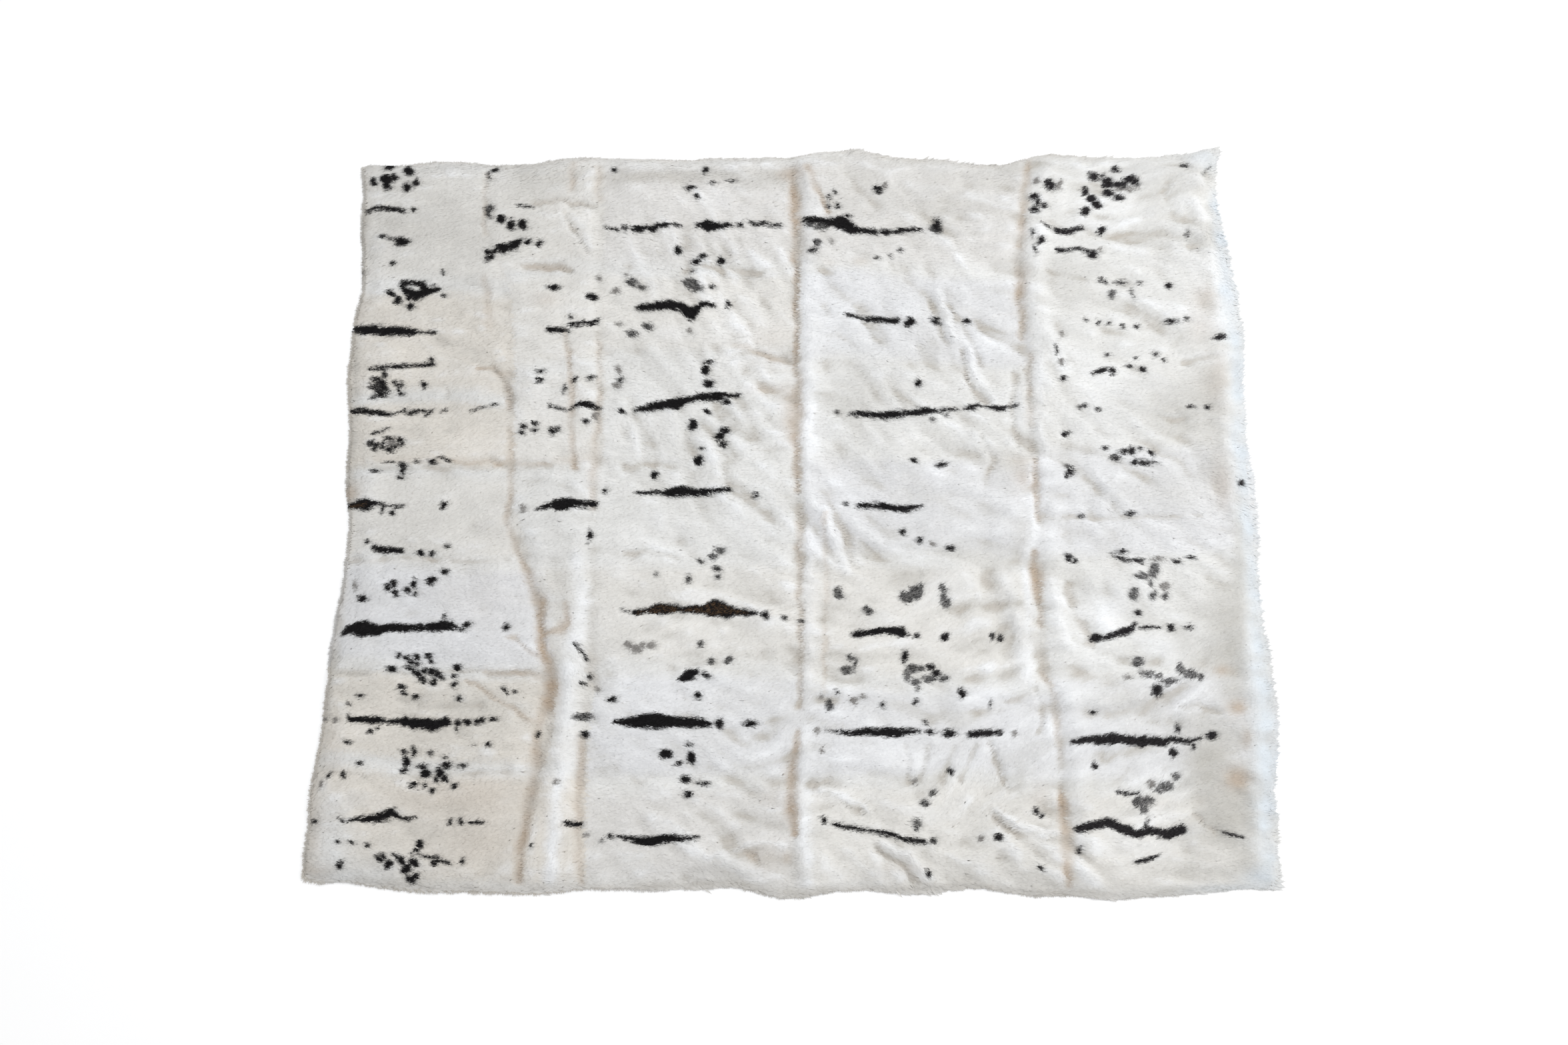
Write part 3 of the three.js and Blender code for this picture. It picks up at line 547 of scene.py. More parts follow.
# marks of the fur, read off the photo in its pixels: stripes are (x, y, thick), spots (x, y, wide, tall);
# brown stripes lie over the dark ones, and mottled and faint marks are spots that more white hairs cover
furMarks = {
    "stripA": {
        "stripes": [
            [(551, 315, 3), (558, 311, 5), (570, 311, 7), (582, 313, 6), (593, 315, 7), (602, 317, 9),
             (609, 316, 4)], [(606, 425, 7), (622, 424, 6), (634, 427, 10), (640, 435, 13)],
            [(604, 429, 8), (611, 438, 12), (624, 442, 14), (640, 438, 12), (654, 433, 8)],
            [(612, 447, 6), (624, 448, 6)],
            [(525, 492, 8), (548, 494, 13), (570, 496, 14), (612, 498, 12), (626, 498, 8)],
            [(634, 498, 5), (655, 498, 4)], [(554, 554, 5), (600, 551, 6), (650, 547, 5)],
            [(524, 614, 4), (530, 616, 7), (545, 616, 7), (555, 619, 6), (566, 619, 8), (575, 622, 7),
             (585, 623, 4), (592, 621, 4), (601, 617, 3), (608, 615, 5)],
            [(611, 621, 5), (620, 618, 4), (627, 615, 4), (637, 618, 5), (639, 624, 4), (646, 616, 4)],
            [(661, 617, 1), (671, 615, 1)], [(702, 617, 1), (715, 615, 1)],
            [(716, 612, 1), (730, 611, 1)], [(737, 609, 1), (748, 607, 1)],
            [(556, 652, 3), (563, 649, 5), (571, 648, 2), (581, 644, 3)], [(574, 693, 1), (592, 694, 1)],
            [(647, 695, 6), (653, 692, 4)], [(657, 687, 2), (664, 687, 4), (676, 692, 4)],
            [(518, 757, 6), (528, 757, 10), (538, 757, 14), (549, 757, 18), (558, 757, 12), (567, 757, 5),
             (580, 759, 3), (592, 760, 4), (604, 761, 2)], [(560, 823, 8), (580, 825, 9), (602, 827, 8)],
            [(509, 952, 3), (516, 947, 9), (524, 943, 14), (534, 943, 22), (548, 943, 26), (557, 944, 19),
             (568, 946, 17), (580, 943, 11), (591, 942, 13), (609, 942, 10), (622, 942, 10),
             (631, 942, 13), (639, 942, 7), (648, 940, 11), (657, 940, 14), (668, 938, 16),
             (678, 940, 14), (687, 943, 6)],
            [(523, 1072, 3), (525, 1080, 10), (545, 1080, 9), (566, 1080, 11), (577, 1082, 6),
             (588, 1083, 7), (597, 1082, 8), (606, 1082, 16), (613, 1083, 12), (620, 1085, 20),
             (634, 1085, 17), (647, 1087, 19), (658, 1086, 12), (665, 1084, 10), (671, 1082, 14),
             (676, 1082, 7)],
            [(507, 1226, 3), (516, 1231, 4), (524, 1232, 2), (532, 1230, 5), (541, 1229, 8),
             (556, 1229, 10), (571, 1227, 12), (581, 1224, 12), (590, 1218, 11), (596, 1222, 9),
             (603, 1228, 5), (611, 1231, 6), (616, 1228, 3), (623, 1227, 2)],
            [(707, 1234, 5), (728, 1233, 6)],
            [(614, 1281, 2), (627, 1282, 3), (642, 1287, 4), (655, 1288, 5), (671, 1295, 6)],
        ],
        "brownStripes": [
            [(524, 759, 2), (534, 759, 5), (545, 758, 5), (552, 757, 2)],
        ],
        "spots": [
            (581, 246, 18, 8), (611, 254, 16, 14), (559, 270, 12, 12), (579, 268, 20, 16),
            (589, 264, 12, 12), (578, 278, 14, 12), (610, 281, 14, 13), (624, 275, 12, 11),
            (621, 316, 11, 4), (575, 354, 12, 6), (585, 358, 7, 3), (602, 363, 24, 11), (594, 361, 10, 6),
            (587, 396, 8, 6), (664, 409, 6, 5), (587, 441, 12, 8), (597, 450, 12, 9), (615, 460, 15, 9),
            (666, 444, 7, 4), (648, 542, 8, 7), (579, 563, 11, 8), (565, 570, 16, 4), (575, 575, 11, 6),
            (558, 580, 13, 3), (577, 581, 13, 5), (569, 587, 14, 3), (582, 586, 6, 7), (570, 593, 18, 4),
            (560, 596, 9, 3), (600, 577, 16, 5), (593, 574, 8, 4), (597, 584, 6, 6), (600, 590, 11, 4),
            (635, 578, 10, 8), (558, 666, 14, 6), (563, 674, 10, 4), (566, 669, 14, 4), (586, 659, 15, 4),
            (601, 661, 13, 6), (604, 667, 9, 5), (587, 675, 18, 6), (596, 671, 13, 4), (577, 666, 9, 4),
            (577, 672, 10, 3), (626, 692, 8, 4), (608, 699, 12, 4), (604, 706, 10, 4), (601, 716, 9, 4),
            (564, 706, 12, 3), (575, 766, 6, 8), (591, 771, 8, 5), (668, 758, 10, 9), (551, 814, 7, 3),
            (630, 829, 11, 6), (647, 830, 10, 5), (671, 820, 10, 5), (543, 897, 15, 8), (592, 876, 10, 9),
            (583, 883, 11, 10), (594, 890, 11, 10), (622, 876, 11, 10), (611, 885, 11, 10),
            (622, 891, 8, 4), (648, 871, 18, 10), (668, 858, 14, 6), (669, 925, 5, 10), (758, 941, 11, 8),
            (700, 937, 13, 7), (696, 945, 10, 3), (667, 925, 6, 6), (597, 983, 10, 7), (611, 987, 13, 5),
            (627, 986, 12, 7), (644, 983, 12, 7), (647, 993, 8, 5), (617, 993, 13, 6), (625, 996, 13, 5),
            (613, 1001, 14, 5), (588, 1004, 16, 8), (621, 1006, 13, 7), (628, 1012, 15, 9),
            (638, 1007, 14, 6), (650, 1008, 16, 6), (659, 1013, 15, 7), (664, 1017, 10, 6),
            (634, 1019, 14, 5), (639, 1023, 10, 4), (652, 1025, 12, 8), (687, 1001, 14, 9),
            (682, 1015, 9, 4), (682, 1028, 10, 8), (691, 1048, 11, 6), (604, 1031, 14, 6),
            (608, 1040, 10, 5), (622, 1046, 12, 8), (539, 1043, 12, 3), (522, 1056, 7, 4),
            (757, 1035, 7, 10), (771, 1037, 7, 3), (689, 1085, 11, 10), (703, 1084, 13, 8),
            (717, 1083, 10, 8), (723, 1081, 11, 10), (741, 1079, 13, 5), (557, 1098, 10, 6),
            (568, 1092, 6, 3), (684, 1096, 6, 8), (521, 1113, 11, 4), (734, 1117, 11, 5),
            (712, 1118, 6, 1), (604, 1128, 10, 4), (620, 1128, 9, 12), (645, 1130, 11, 6),
            (608, 1142, 13, 13), (606, 1156, 10, 8), (667, 1135, 9, 3), (632, 1150, 18, 5),
            (667, 1148, 18, 7), (690, 1150, 14, 4), (637, 1161, 18, 12), (659, 1160, 15, 14),
            (667, 1169, 11, 10), (653, 1171, 9, 9), (619, 1177, 12, 7), (636, 1178, 6, 5),
            (680, 1180, 11, 7), (648, 1188, 10, 6), (540, 1145, 12, 5), (493, 1164, 10, 7),
            (517, 1162, 9, 8), (468, 1233, 9, 3), (675, 1233, 9, 7), (693, 1233, 9, 8), (508, 1264, 9, 4),
            (528, 1264, 8, 3), (551, 1267, 8, 6), (629, 1266, 12, 11), (625, 1275, 9, 7),
            (567, 1289, 13, 10), (576, 1284, 11, 6), (582, 1296, 15, 12), (595, 1282, 9, 3),
            (602, 1291, 14, 11), (621, 1294, 17, 12), (609, 1303, 15, 13), (650, 1295, 11, 8),
            (656, 1289, 8, 7), (616, 1320, 16, 13), (625, 1315, 11, 8), (507, 1300, 12, 8),
            (512, 1294, 6, 6), (694, 1292, 8, 7),
        ],
        "mottled": [
            (571, 582, 22, 22), (604, 699, 14, 8), (606, 704, 10, 12),
        ],
        "faint": [
            (590, 666, 14, 8), (543, 406, 8, 5), (532, 878, 8, 12), (484, 1079, 10, 5),
            (501, 1080, 10, 5), (481, 1177, 8, 10),
        ],
    },
    "stripB": {
        "stripes": [
            [(777, 308, 1), (788, 310, 4), (803, 311, 1)],
            [(731, 379, 9), (740, 379, 8), (746, 374, 6), (755, 374, 14), (764, 372, 10), (773, 370, 16),
             (779, 362, 8)], [(823, 496, 7), (835, 496, 8), (852, 496, 5)],
            [(855, 488, 6), (866, 487, 7), (878, 485, 6), (888, 486, 5), (897, 482, 8)],
            [(824, 609, 1), (838, 613, 3), (854, 617, 2), (861, 612, 4), (870, 610, 8), (880, 608, 11),
             (890, 611, 9), (899, 613, 6)],
            [(804, 764, 4), (830, 758, 7), (845, 758, 20), (862, 757, 12), (895, 758, 9)],
            [(865, 965, 4), (879, 990, 4)], [(847, 1236, 7), (868, 1238, 8)],
        ],
        "brownStripes": [],
        "spots": [
            (741, 253, 12, 6), (734, 262, 3, 12), (752, 331, 15, 11), (768, 339, 14, 14),
            (784, 338, 14, 11), (737, 386, 10, 7), (792, 364, 12, 7), (810, 366, 11, 9),
            (830, 432, 16, 8), (889, 446, 16, 10), (857, 476, 7, 5), (813, 558, 12, 4), (811, 571, 10, 6),
            (864, 570, 8, 5), (887, 567, 14, 3), (848, 583, 7, 8), (879, 635, 11, 4), (806, 637, 12, 5),
            (802, 646, 9, 4), (786, 641, 10, 5), (784, 650, 8, 3), (829, 648, 12, 8), (836, 645, 9, 5),
            (884, 804, 8, 14), (882, 1016, 8, 7), (873, 1026, 11, 4), (878, 1102, 14, 9),
            (808, 1102, 8, 7), (799, 1269, 6, 5),
        ],
        "mottled": [
            (874, 1076, 30, 9), (735, 315, 13, 10), (734, 323, 8, 10), (733, 389, 12, 8),
        ],
        "faint": [
            (898, 417, 10, 8), (895, 625, 9, 12), (782, 764, 9, 8), (895, 1034, 8, 6), (835, 1174, 8, 6),
            (878, 1254, 10, 6),
        ],
    },
    "stripC": {
        "stripes": [
            [(908, 340, 3), (916, 343, 2), (925, 345, 3)],
            [(950, 344, 7), (960, 344, 11), (968, 341, 6), (978, 343, 10), (988, 340, 9), (1000, 339, 8),
             (1009, 338, 4), (1024, 339, 2)],
            [(1049, 338, 6), (1058, 336, 12), (1066, 341, 14), (1075, 341, 9), (1084, 341, 7),
             (1091, 337, 9), (1095, 338, 5)], [(1104, 338, 3), (1110, 337, 6), (1116, 336, 2)],
            [(1126, 333, 4), (1136, 336, 5), (1147, 333, 6), (1158, 336, 3), (1168, 337, 6),
             (1173, 339, 2)],
            [(951, 463, 5), (965, 461, 10), (985, 460, 12), (1005, 459, 14), (1022, 461, 14),
             (1030, 467, 16), (1037, 471, 20), (1044, 466, 14), (1052, 459, 9), (1062, 457, 8),
             (1072, 460, 5)],
            [(954, 616, 4), (965, 614, 9), (980, 611, 12), (1000, 607, 15), (1015, 606, 17),
             (1027, 602, 13), (1035, 599, 8), (1050, 597, 9), (1065, 596, 11), (1080, 596, 11),
             (1095, 594, 8), (1108, 594, 5), (1115, 593, 1)],
            [(956, 740, 4), (980, 739, 6), (1002, 740, 10), (1024, 737, 17), (1043, 739, 10),
             (1072, 738, 7), (1093, 735, 7)],
            [(922, 1082, 6), (935, 1082, 10), (954, 1082, 18), (983, 1081, 24), (1008, 1083, 18),
             (1034, 1084, 16), (1056, 1085, 14), (1066, 1086, 8)],
            [(934, 915, 2), (947, 919, 4), (957, 919, 11), (967, 916, 7), (976, 915, 8), (985, 915, 16),
             (997, 914, 15), (1011, 913, 12), (1024, 915, 9), (1040, 914, 14), (1053, 915, 13),
             (1062, 914, 18), (1070, 913, 26), (1080, 913, 22), (1089, 918, 24), (1098, 917, 16),
             (1108, 918, 10), (1119, 919, 11), (1132, 920, 7), (1137, 921, 2)],
            [(1022, 1018, 10), (1032, 1013, 18), (1044, 1009, 10)],
            [(929, 1256, 5), (938, 1257, 6), (961, 1260, 10), (980, 1262, 14), (1002, 1257, 14),
             (1024, 1258, 8), (1037, 1257, 6), (1050, 1255, 4)],
        ],
        "brownStripes": [
            [(958, 919, 3), (972, 916, 2), (985, 915, 8), (1005, 914, 8), (1026, 915, 2), (1045, 915, 7),
             (1060, 914, 10), (1070, 913, 17), (1082, 915, 15), (1095, 917, 8), (1119, 919, 4)],
        ],
        "spots": [
            (921, 253, 8, 5), (1058, 253, 11, 10), (1098, 270, 11, 2), (1071, 274, 10, 1),
            (1037, 283, 15, 5), (1048, 297, 10, 7), (1018, 377, 13, 11), (1052, 385, 14, 5),
            (1042, 394, 15, 7), (1080, 390, 14, 10), (1039, 407, 5, 4), (1068, 433, 9, 3),
            (1093, 457, 8, 7), (1064, 544, 15, 4), (1060, 557, 14, 12), (1064, 577, 19, 9),
            (929, 570, 9, 7), (931, 618, 12, 4), (1090, 603, 15, 8), (1063, 618, 13, 6),
            (1038, 638, 14, 15), (1086, 646, 17, 8), (1078, 655, 15, 12), (1086, 667, 13, 7),
            (1053, 673, 9, 2), (1048, 691, 16, 14), (983, 712, 12, 8), (908, 736, 9, 3),
            (1133, 743, 10, 3), (1148, 924, 12, 10), (1176, 927, 9, 5), (1204, 933, 9, 5),
            (1080, 1086, 13, 15), (1126, 1085, 23, 6), (1057, 1013, 14, 6), (918, 1050, 15, 7),
            (1048, 1044, 14, 7), (1034, 1118, 11, 6), (997, 1131, 20, 13), (1036, 1138, 14, 16),
            (1018, 1146, 11, 6), (1029, 1169, 18, 10), (1056, 1175, 18, 3), (1031, 1191, 14, 8),
            (903, 1261, 5, 3), (916, 1255, 11, 4),
        ],
        "mottled": [
            (1033, 423, 18, 10), (1040, 428, 20, 12), (1047, 434, 14, 9), (948, 424, 20, 7),
            (950, 420, 6, 9), (962, 431, 16, 5), (938, 343, 12, 8), (949, 501, 18, 6), (971, 489, 18, 9),
            (1079, 825, 16, 7), (1069, 834, 14, 8), (1049, 842, 9, 5), (1074, 854, 14, 8),
            (1075, 865, 10, 6), (1032, 869, 9, 11), (984, 862, 6, 5), (1050, 967, 11, 8),
            (1068, 992, 12, 8), (1094, 989, 11, 10),
        ],
        "faint": [
            (923, 436, 14, 7), (939, 412, 8, 4), (1035, 498, 8, 6), (929, 486, 9, 5), (926, 554, 12, 10),
            (926, 579, 12, 7), (942, 967, 12, 8), (952, 974, 18, 11), (962, 969, 10, 7),
            (976, 969, 16, 7),
        ],
    },
    "stripD": {
        "stripes": [
            [(1207, 332, 6), (1222, 333, 8), (1236, 335, 8), (1250, 336, 12), (1259, 336, 22),
             (1269, 340, 17), (1279, 345, 12), (1293, 348, 8), (1308, 350, 8), (1320, 350, 6),
             (1330, 350, 9), (1341, 348, 5), (1352, 346, 9), (1366, 345, 7), (1384, 347, 2)],
            [(1271, 473, 4), (1300, 479, 6), (1345, 482, 8)],
            [(1277, 620, 3), (1286, 620, 7), (1303, 621, 7), (1322, 624, 11), (1338, 623, 11),
             (1362, 620, 7), (1387, 618, 11), (1408, 618, 5), (1430, 616, 5), (1439, 616, 2)],
            [(1448, 615, 4), (1456, 613, 8), (1466, 609, 7), (1474, 611, 2), (1488, 612, 7),
             (1499, 614, 9), (1513, 611, 5), (1527, 608, 3)],
            [(1288, 759, 6), (1324, 759, 10), (1346, 763, 10), (1362, 764, 8), (1380, 760, 6)],
            [(1281, 952, 8), (1287, 951, 11), (1300, 949, 8), (1315, 948, 11), (1330, 947, 9),
             (1344, 948, 12), (1354, 949, 14), (1362, 952, 7), (1369, 953, 2)],
            [(1240, 1095, 2), (1254, 1097, 3), (1272, 1099, 5), (1286, 1100, 8), (1304, 1098, 11),
             (1318, 1099, 12), (1333, 1098, 14), (1351, 1099, 12), (1369, 1098, 8), (1381, 1098, 3)],
            [(1456, 1102, 10), (1470, 1100, 10), (1485, 1100, 11), (1501, 1099, 5)],
            [(1249, 1235, 5), (1264, 1241, 6), (1286, 1244, 6), (1308, 1246, 6), (1337, 1252, 9),
             (1356, 1260, 6), (1388, 1263, 6)],
        ],
        "brownStripes": [],
        "spots": [
            (1316, 284, 16, 9), (1251, 290, 7, 5), (1241, 297, 8, 3), (1242, 310, 5, 4),
            (1256, 310, 8, 6), (1271, 326, 10, 4), (1406, 338, 12, 21), (1216, 377, 12, 4),
            (1316, 386, 10, 3), (1336, 385, 5, 2), (1351, 376, 8, 3), (1399, 630, 9, 2),
            (1422, 624, 8, 2), (1364, 485, 15, 13), (1404, 483, 18, 8), (1451, 482, 11, 7),
            (1377, 575, 10, 9), (1257, 618, 7, 3), (1373, 691, 12, 5), (1411, 697, 16, 7),
            (1268, 755, 8, 3), (1356, 797, 12, 8), (1380, 811, 11, 7), (1424, 823, 12, 6),
            (1376, 954, 9, 6), (1415, 956, 13, 12), (1488, 955, 9, 8), (1502, 957, 9, 9),
            (1357, 984, 12, 15), (1396, 1000, 14, 7), (1403, 1009, 15, 8), (1440, 1040, 10, 13),
            (1376, 1053, 8, 6), (1323, 1058, 9, 7), (1486, 1057, 4, 8), (1389, 1084, 9, 7),
            (1397, 1098, 15, 5), (1423, 1101, 24, 10), (1426, 1158, 9, 7), (1236, 1230, 9, 8),
            (1256, 1039, 6, 5), (1498, 1256, 16, 8), (1554, 1218, 8, 7), (1562, 1224, 8, 7),
            (1392, 1311, 11, 9), (1560, 1301, 9, 5), (1400, 1262, 12, 7),
        ],
        "mottled": [
            (1218, 337, 18, 9), (1234, 342, 22, 9), (1225, 367, 14, 10), (1404, 343, 24, 11),
            (1257, 890, 14, 14), (1300, 917, 15, 11), (1359, 896, 22, 16), (1373, 889, 20, 20),
            (1379, 881, 9, 9), (1414, 883, 9, 12), (1413, 896, 13, 14), (1419, 905, 14, 12),
            (1369, 1003, 15, 13), (1361, 1013, 10, 17), (1381, 1003, 13, 6), (1395, 1018, 22, 8),
            (1415, 1018, 16, 9), (1373, 1024, 15, 9), (1377, 1033, 7, 7), (1274, 987, 8, 8),
            (1281, 996, 7, 15), (1269, 1005, 16, 11), (1245, 1058, 13, 15), (1400, 1190, 15, 8),
            (1388, 1205, 16, 8), (1376, 1238, 13, 18),
        ],
        "faint": [
            (1328, 278, 9, 6), (1245, 364, 6, 4), (1233, 1046, 8, 6), (1281, 1051, 12, 10),
            (1295, 1046, 8, 6), (1398, 817, 9, 4), (1225, 1096, 10, 6), (1521, 1100, 8, 6),
            (1233, 1126, 8, 6), (1373, 1173, 11, 8), (1471, 1257, 11, 7),
        ],
    },
    "stripE": {
        "stripes": [
            [(1584, 347, 8), (1600, 349, 8), (1612, 345, 7), (1622, 343, 5)],
            [(1564, 336, 2), (1576, 344, 3)], [(1817, 247, 1), (1803, 263, 1)],
            [(1588, 376, 7), (1600, 376, 3), (1617, 374, 5), (1640, 381, 4)],
            [(1638, 562, 3), (1646, 559, 6), (1656, 556, 8), (1661, 555, 5)],
            [(1667, 832, 3), (1690, 841, 4), (1714, 842, 5)],
            [(1636, 959, 3), (1645, 956, 13), (1655, 957, 5), (1664, 955, 8), (1676, 952, 9),
             (1688, 948, 11), (1699, 944, 8), (1703, 937, 6)],
            [(1711, 943, 4), (1722, 942, 8), (1732, 942, 4), (1741, 942, 3)],
            [(1606, 1113, 6), (1620, 1111, 9), (1634, 1110, 9), (1650, 1110, 13), (1668, 1108, 16),
             (1685, 1110, 14), (1702, 1112, 15), (1714, 1113, 18), (1722, 1111, 13), (1738, 1113, 15),
             (1746, 1115, 12), (1755, 1110, 9), (1764, 1110, 8), (1781, 1112, 8), (1800, 1108, 5)],
            [(1700, 1294, 4), (1712, 1291, 7), (1726, 1287, 6), (1741, 1281, 1)],
            [(1834, 1249, 3), (1844, 1251, 6), (1852, 1253, 5), (1863, 1256, 1)],
            [(1676, 1186, 2), (1682, 1190, 6), (1692, 1191, 4), (1706, 1190, 3)],
            [(1614, 1243, 8), (1629, 1240, 12), (1660, 1234, 14), (1686, 1244, 15), (1705, 1251, 13),
             (1724, 1246, 11), (1750, 1252, 12), (1772, 1244, 13)],
        ],
        "brownStripes": [],
        "spots": [
            (1570, 278, 14, 11), (1576, 283, 14, 7), (1550, 298, 17, 8), (1550, 317, 13, 9),
            (1556, 308, 9, 8), (1565, 311, 12, 3), (1640, 264, 22, 9), (1655, 260, 7, 3),
            (1673, 253, 12, 6), (1660, 270, 18, 10), (1666, 276, 22, 9), (1681, 277, 24, 9),
            (1694, 271, 18, 9), (1703, 274, 14, 8), (1627, 287, 12, 12), (1638, 299, 15, 10),
            (1644, 309, 15, 11), (1626, 319, 14, 12), (1662, 290, 16, 11), (1678, 298, 16, 7),
            (1652, 347, 12, 9), (1547, 352, 3, 7), (1560, 363, 13, 11), (1552, 376, 4, 13),
            (1592, 376, 13, 5), (1640, 381, 15, 8), (1778, 352, 5, 9), (1776, 251, 11, 5),
            (1654, 420, 10, 3), (1661, 423, 5, 3), (1682, 423, 14, 3), (1707, 424, 9, 3),
            (1697, 440, 5, 11), (1753, 430, 10, 7), (1628, 482, 5, 3), (1647, 485, 5, 3),
            (1664, 484, 6, 3), (1685, 489, 6, 3), (1707, 489, 9, 4), (1757, 483, 16, 3),
            (1779, 480, 7, 3), (1827, 508, 20, 7), (1582, 525, 5, 11), (1596, 569, 10, 5),
            (1661, 532, 9, 3), (1705, 538, 8, 3), (1733, 532, 11, 4), (1747, 541, 6, 3),
            (1695, 550, 10, 2), (1669, 558, 11, 9), (1713, 554, 12, 8), (1619, 611, 8, 3),
            (1625, 609, 8, 3), (1645, 615, 9, 3), (1787, 611, 10, 4), (1809, 611, 9, 6),
            (1599, 652, 10, 7), (1658, 673, 8, 5), (1685, 678, 15, 5), (1697, 677, 11, 11),
            (1728, 679, 10, 7), (1673, 688, 15, 7), (1701, 695, 11, 7), (1717, 695, 34, 4),
            (1709, 673, 12, 2), (1600, 700, 12, 3), (1604, 709, 16, 7), (1597, 715, 8, 5),
            (1864, 724, 13, 5), (1621, 774, 8, 3), (1696, 772, 13, 5), (1601, 836, 13, 9),
            (1612, 842, 9, 5), (1681, 828, 14, 3), (1761, 842, 11, 5), (1784, 837, 13, 3),
            (1708, 920, 12, 6), (1758, 942, 12, 10), (1782, 941, 12, 3), (1767, 1093, 9, 13),
            (1818, 1104, 19, 9), (1760, 1130, 12, 11), (1788, 1121, 8, 5), (1642, 1149, 11, 8),
            (1636, 1069, 11, 5), (1620, 1277, 7, 9), (1736, 1036, 13, 13),
        ],
        "mottled": [
            (1667, 441, 12, 11), (1732, 856, 16, 20), (1714, 864, 26, 7), (1725, 876, 9, 8),
            (1700, 892, 17, 16), (1730, 894, 10, 11), (1748, 895, 12, 8), (1708, 993, 18, 13),
            (1719, 1012, 22, 7), (1736, 1015, 14, 5), (1752, 1022, 24, 6), (1770, 1003, 12, 16),
            (1783, 1012, 24, 12), (1799, 1016, 12, 7), (1736, 1036, 18, 17), (1748, 1180, 22, 14),
            (1764, 1166, 14, 8), (1740, 1184, 16, 8), (1708, 1202, 18, 14), (1722, 1202, 20, 12),
            (1716, 1212, 14, 16), (1721, 1236, 7, 13),
        ],
        "faint": [
            (1554, 275, 9, 7), (1588, 280, 10, 12), (1687, 284, 30, 6), (1651, 374, 6, 3),
            (1590, 501, 6, 9), (1591, 545, 9, 7), (1734, 839, 18, 4), (1746, 880, 14, 10),
            (1725, 1177, 14, 11), (1690, 1016, 12, 5),
        ],
    },
}
markEdge = {  # in photo pixels, but for the margin in metres
    "wobbleAlong": 1.5, "wobbleAcross": 1.0, "strokeLength": 3.0, "growSpots": 3.0, "growStripes": 0.4,
    "narrowest": 2.0, "outside": -9.0, "margin": 0.04,
}
markKinds = ("dark", "brown", "mottled", "faint")


def makeInkMaps():
    # how deep in a mark of each kind each place lies, in photo pixels: over 0 inside it
    px, py = photoPixel(mapX, mapY)
    px = px + markEdge["wobbleAlong"] * broadStreaks
    py = py + markEdge["wobbleAcross"] * fineStreaks
    ink = {kind: np.full(mapX.shape, markEdge["outside"]) for kind in markKinds}
    for strip in furMarks.values():
        lines = [("dark", line) for line in strip["stripes"]]
        lines += [("brown", line) for line in strip["brownStripes"]]
        for kind, line in lines:
            part = mapWindow(line, markEdge["margin"])
            gap, thick = nearLine(px[part], py[part], line)
            ink[kind][part] = np.maximum(ink[kind][part], thick / 2 + markEdge["growStripes"] - gap)
        spots = [("dark", spot) for spot in strip["spots"]]
        spots += [(kind, spot) for kind in ("mottled", "faint") for spot in strip[kind]]
        for kind, (x, y, wide, tall) in spots:
            part = mapWindow([(x, y)], markEdge["margin"])
            wide = max(wide - markEdge["strokeLength"], markEdge["narrowest"])  # the hairs draw it out again
            wide, tall = wide + markEdge["growSpots"], tall + markEdge["growSpots"]
            away = np.hypot((px[part] - x) / (wide / 2), (py[part] - y) / (tall / 2))
            ink[kind][part] = np.maximum(ink[kind][part], (1 - away) * min(wide, tall) / 2)
    return ink


inkMaps = makeInkMaps()
anyMark = np.maximum.reduce(list(inkMaps.values()))
print("marks mapped")

# base colour of each slot's fur, of the painted highlight, the painted shade and the places where the tone
# differs, laid on in this order, and of the marks
furTones = {
    "fur_warm": (0.700, 0.668, 0.615), "fur_cream": (0.712, 0.700, 0.672), "fur_white": (0.722, 0.722, 0.710),
    "fur_cool": (0.708, 0.713, 0.725), "fur_grey": (0.685, 0.675, 0.658),
}
paintedLightAndPlaceTones = {
    # white is a painted highlight on raised fur; greige is partly real tone and partly painted shade; tan is
    # partly the parted underfur and partly painted shade; blue is a painted bluish shade on the rim
    "white": (0.84, 0.855, 0.875), "greige": (0.48, 0.468, 0.437), "tan": (0.45, 0.365, 0.285),
    "blue": (0.600, 0.645, 0.685),
}
markTones = {
    "dark": (0.0055, 0.005, 0.0055), "brown": (0.034, 0.021, 0.012), "mottled": (0.016, 0.0155, 0.016),
    "faint": (0.19, 0.18, 0.17),
}
slotOf = {part["node"]: part["material_slot"] for part in frame["record"]["subparts"]}
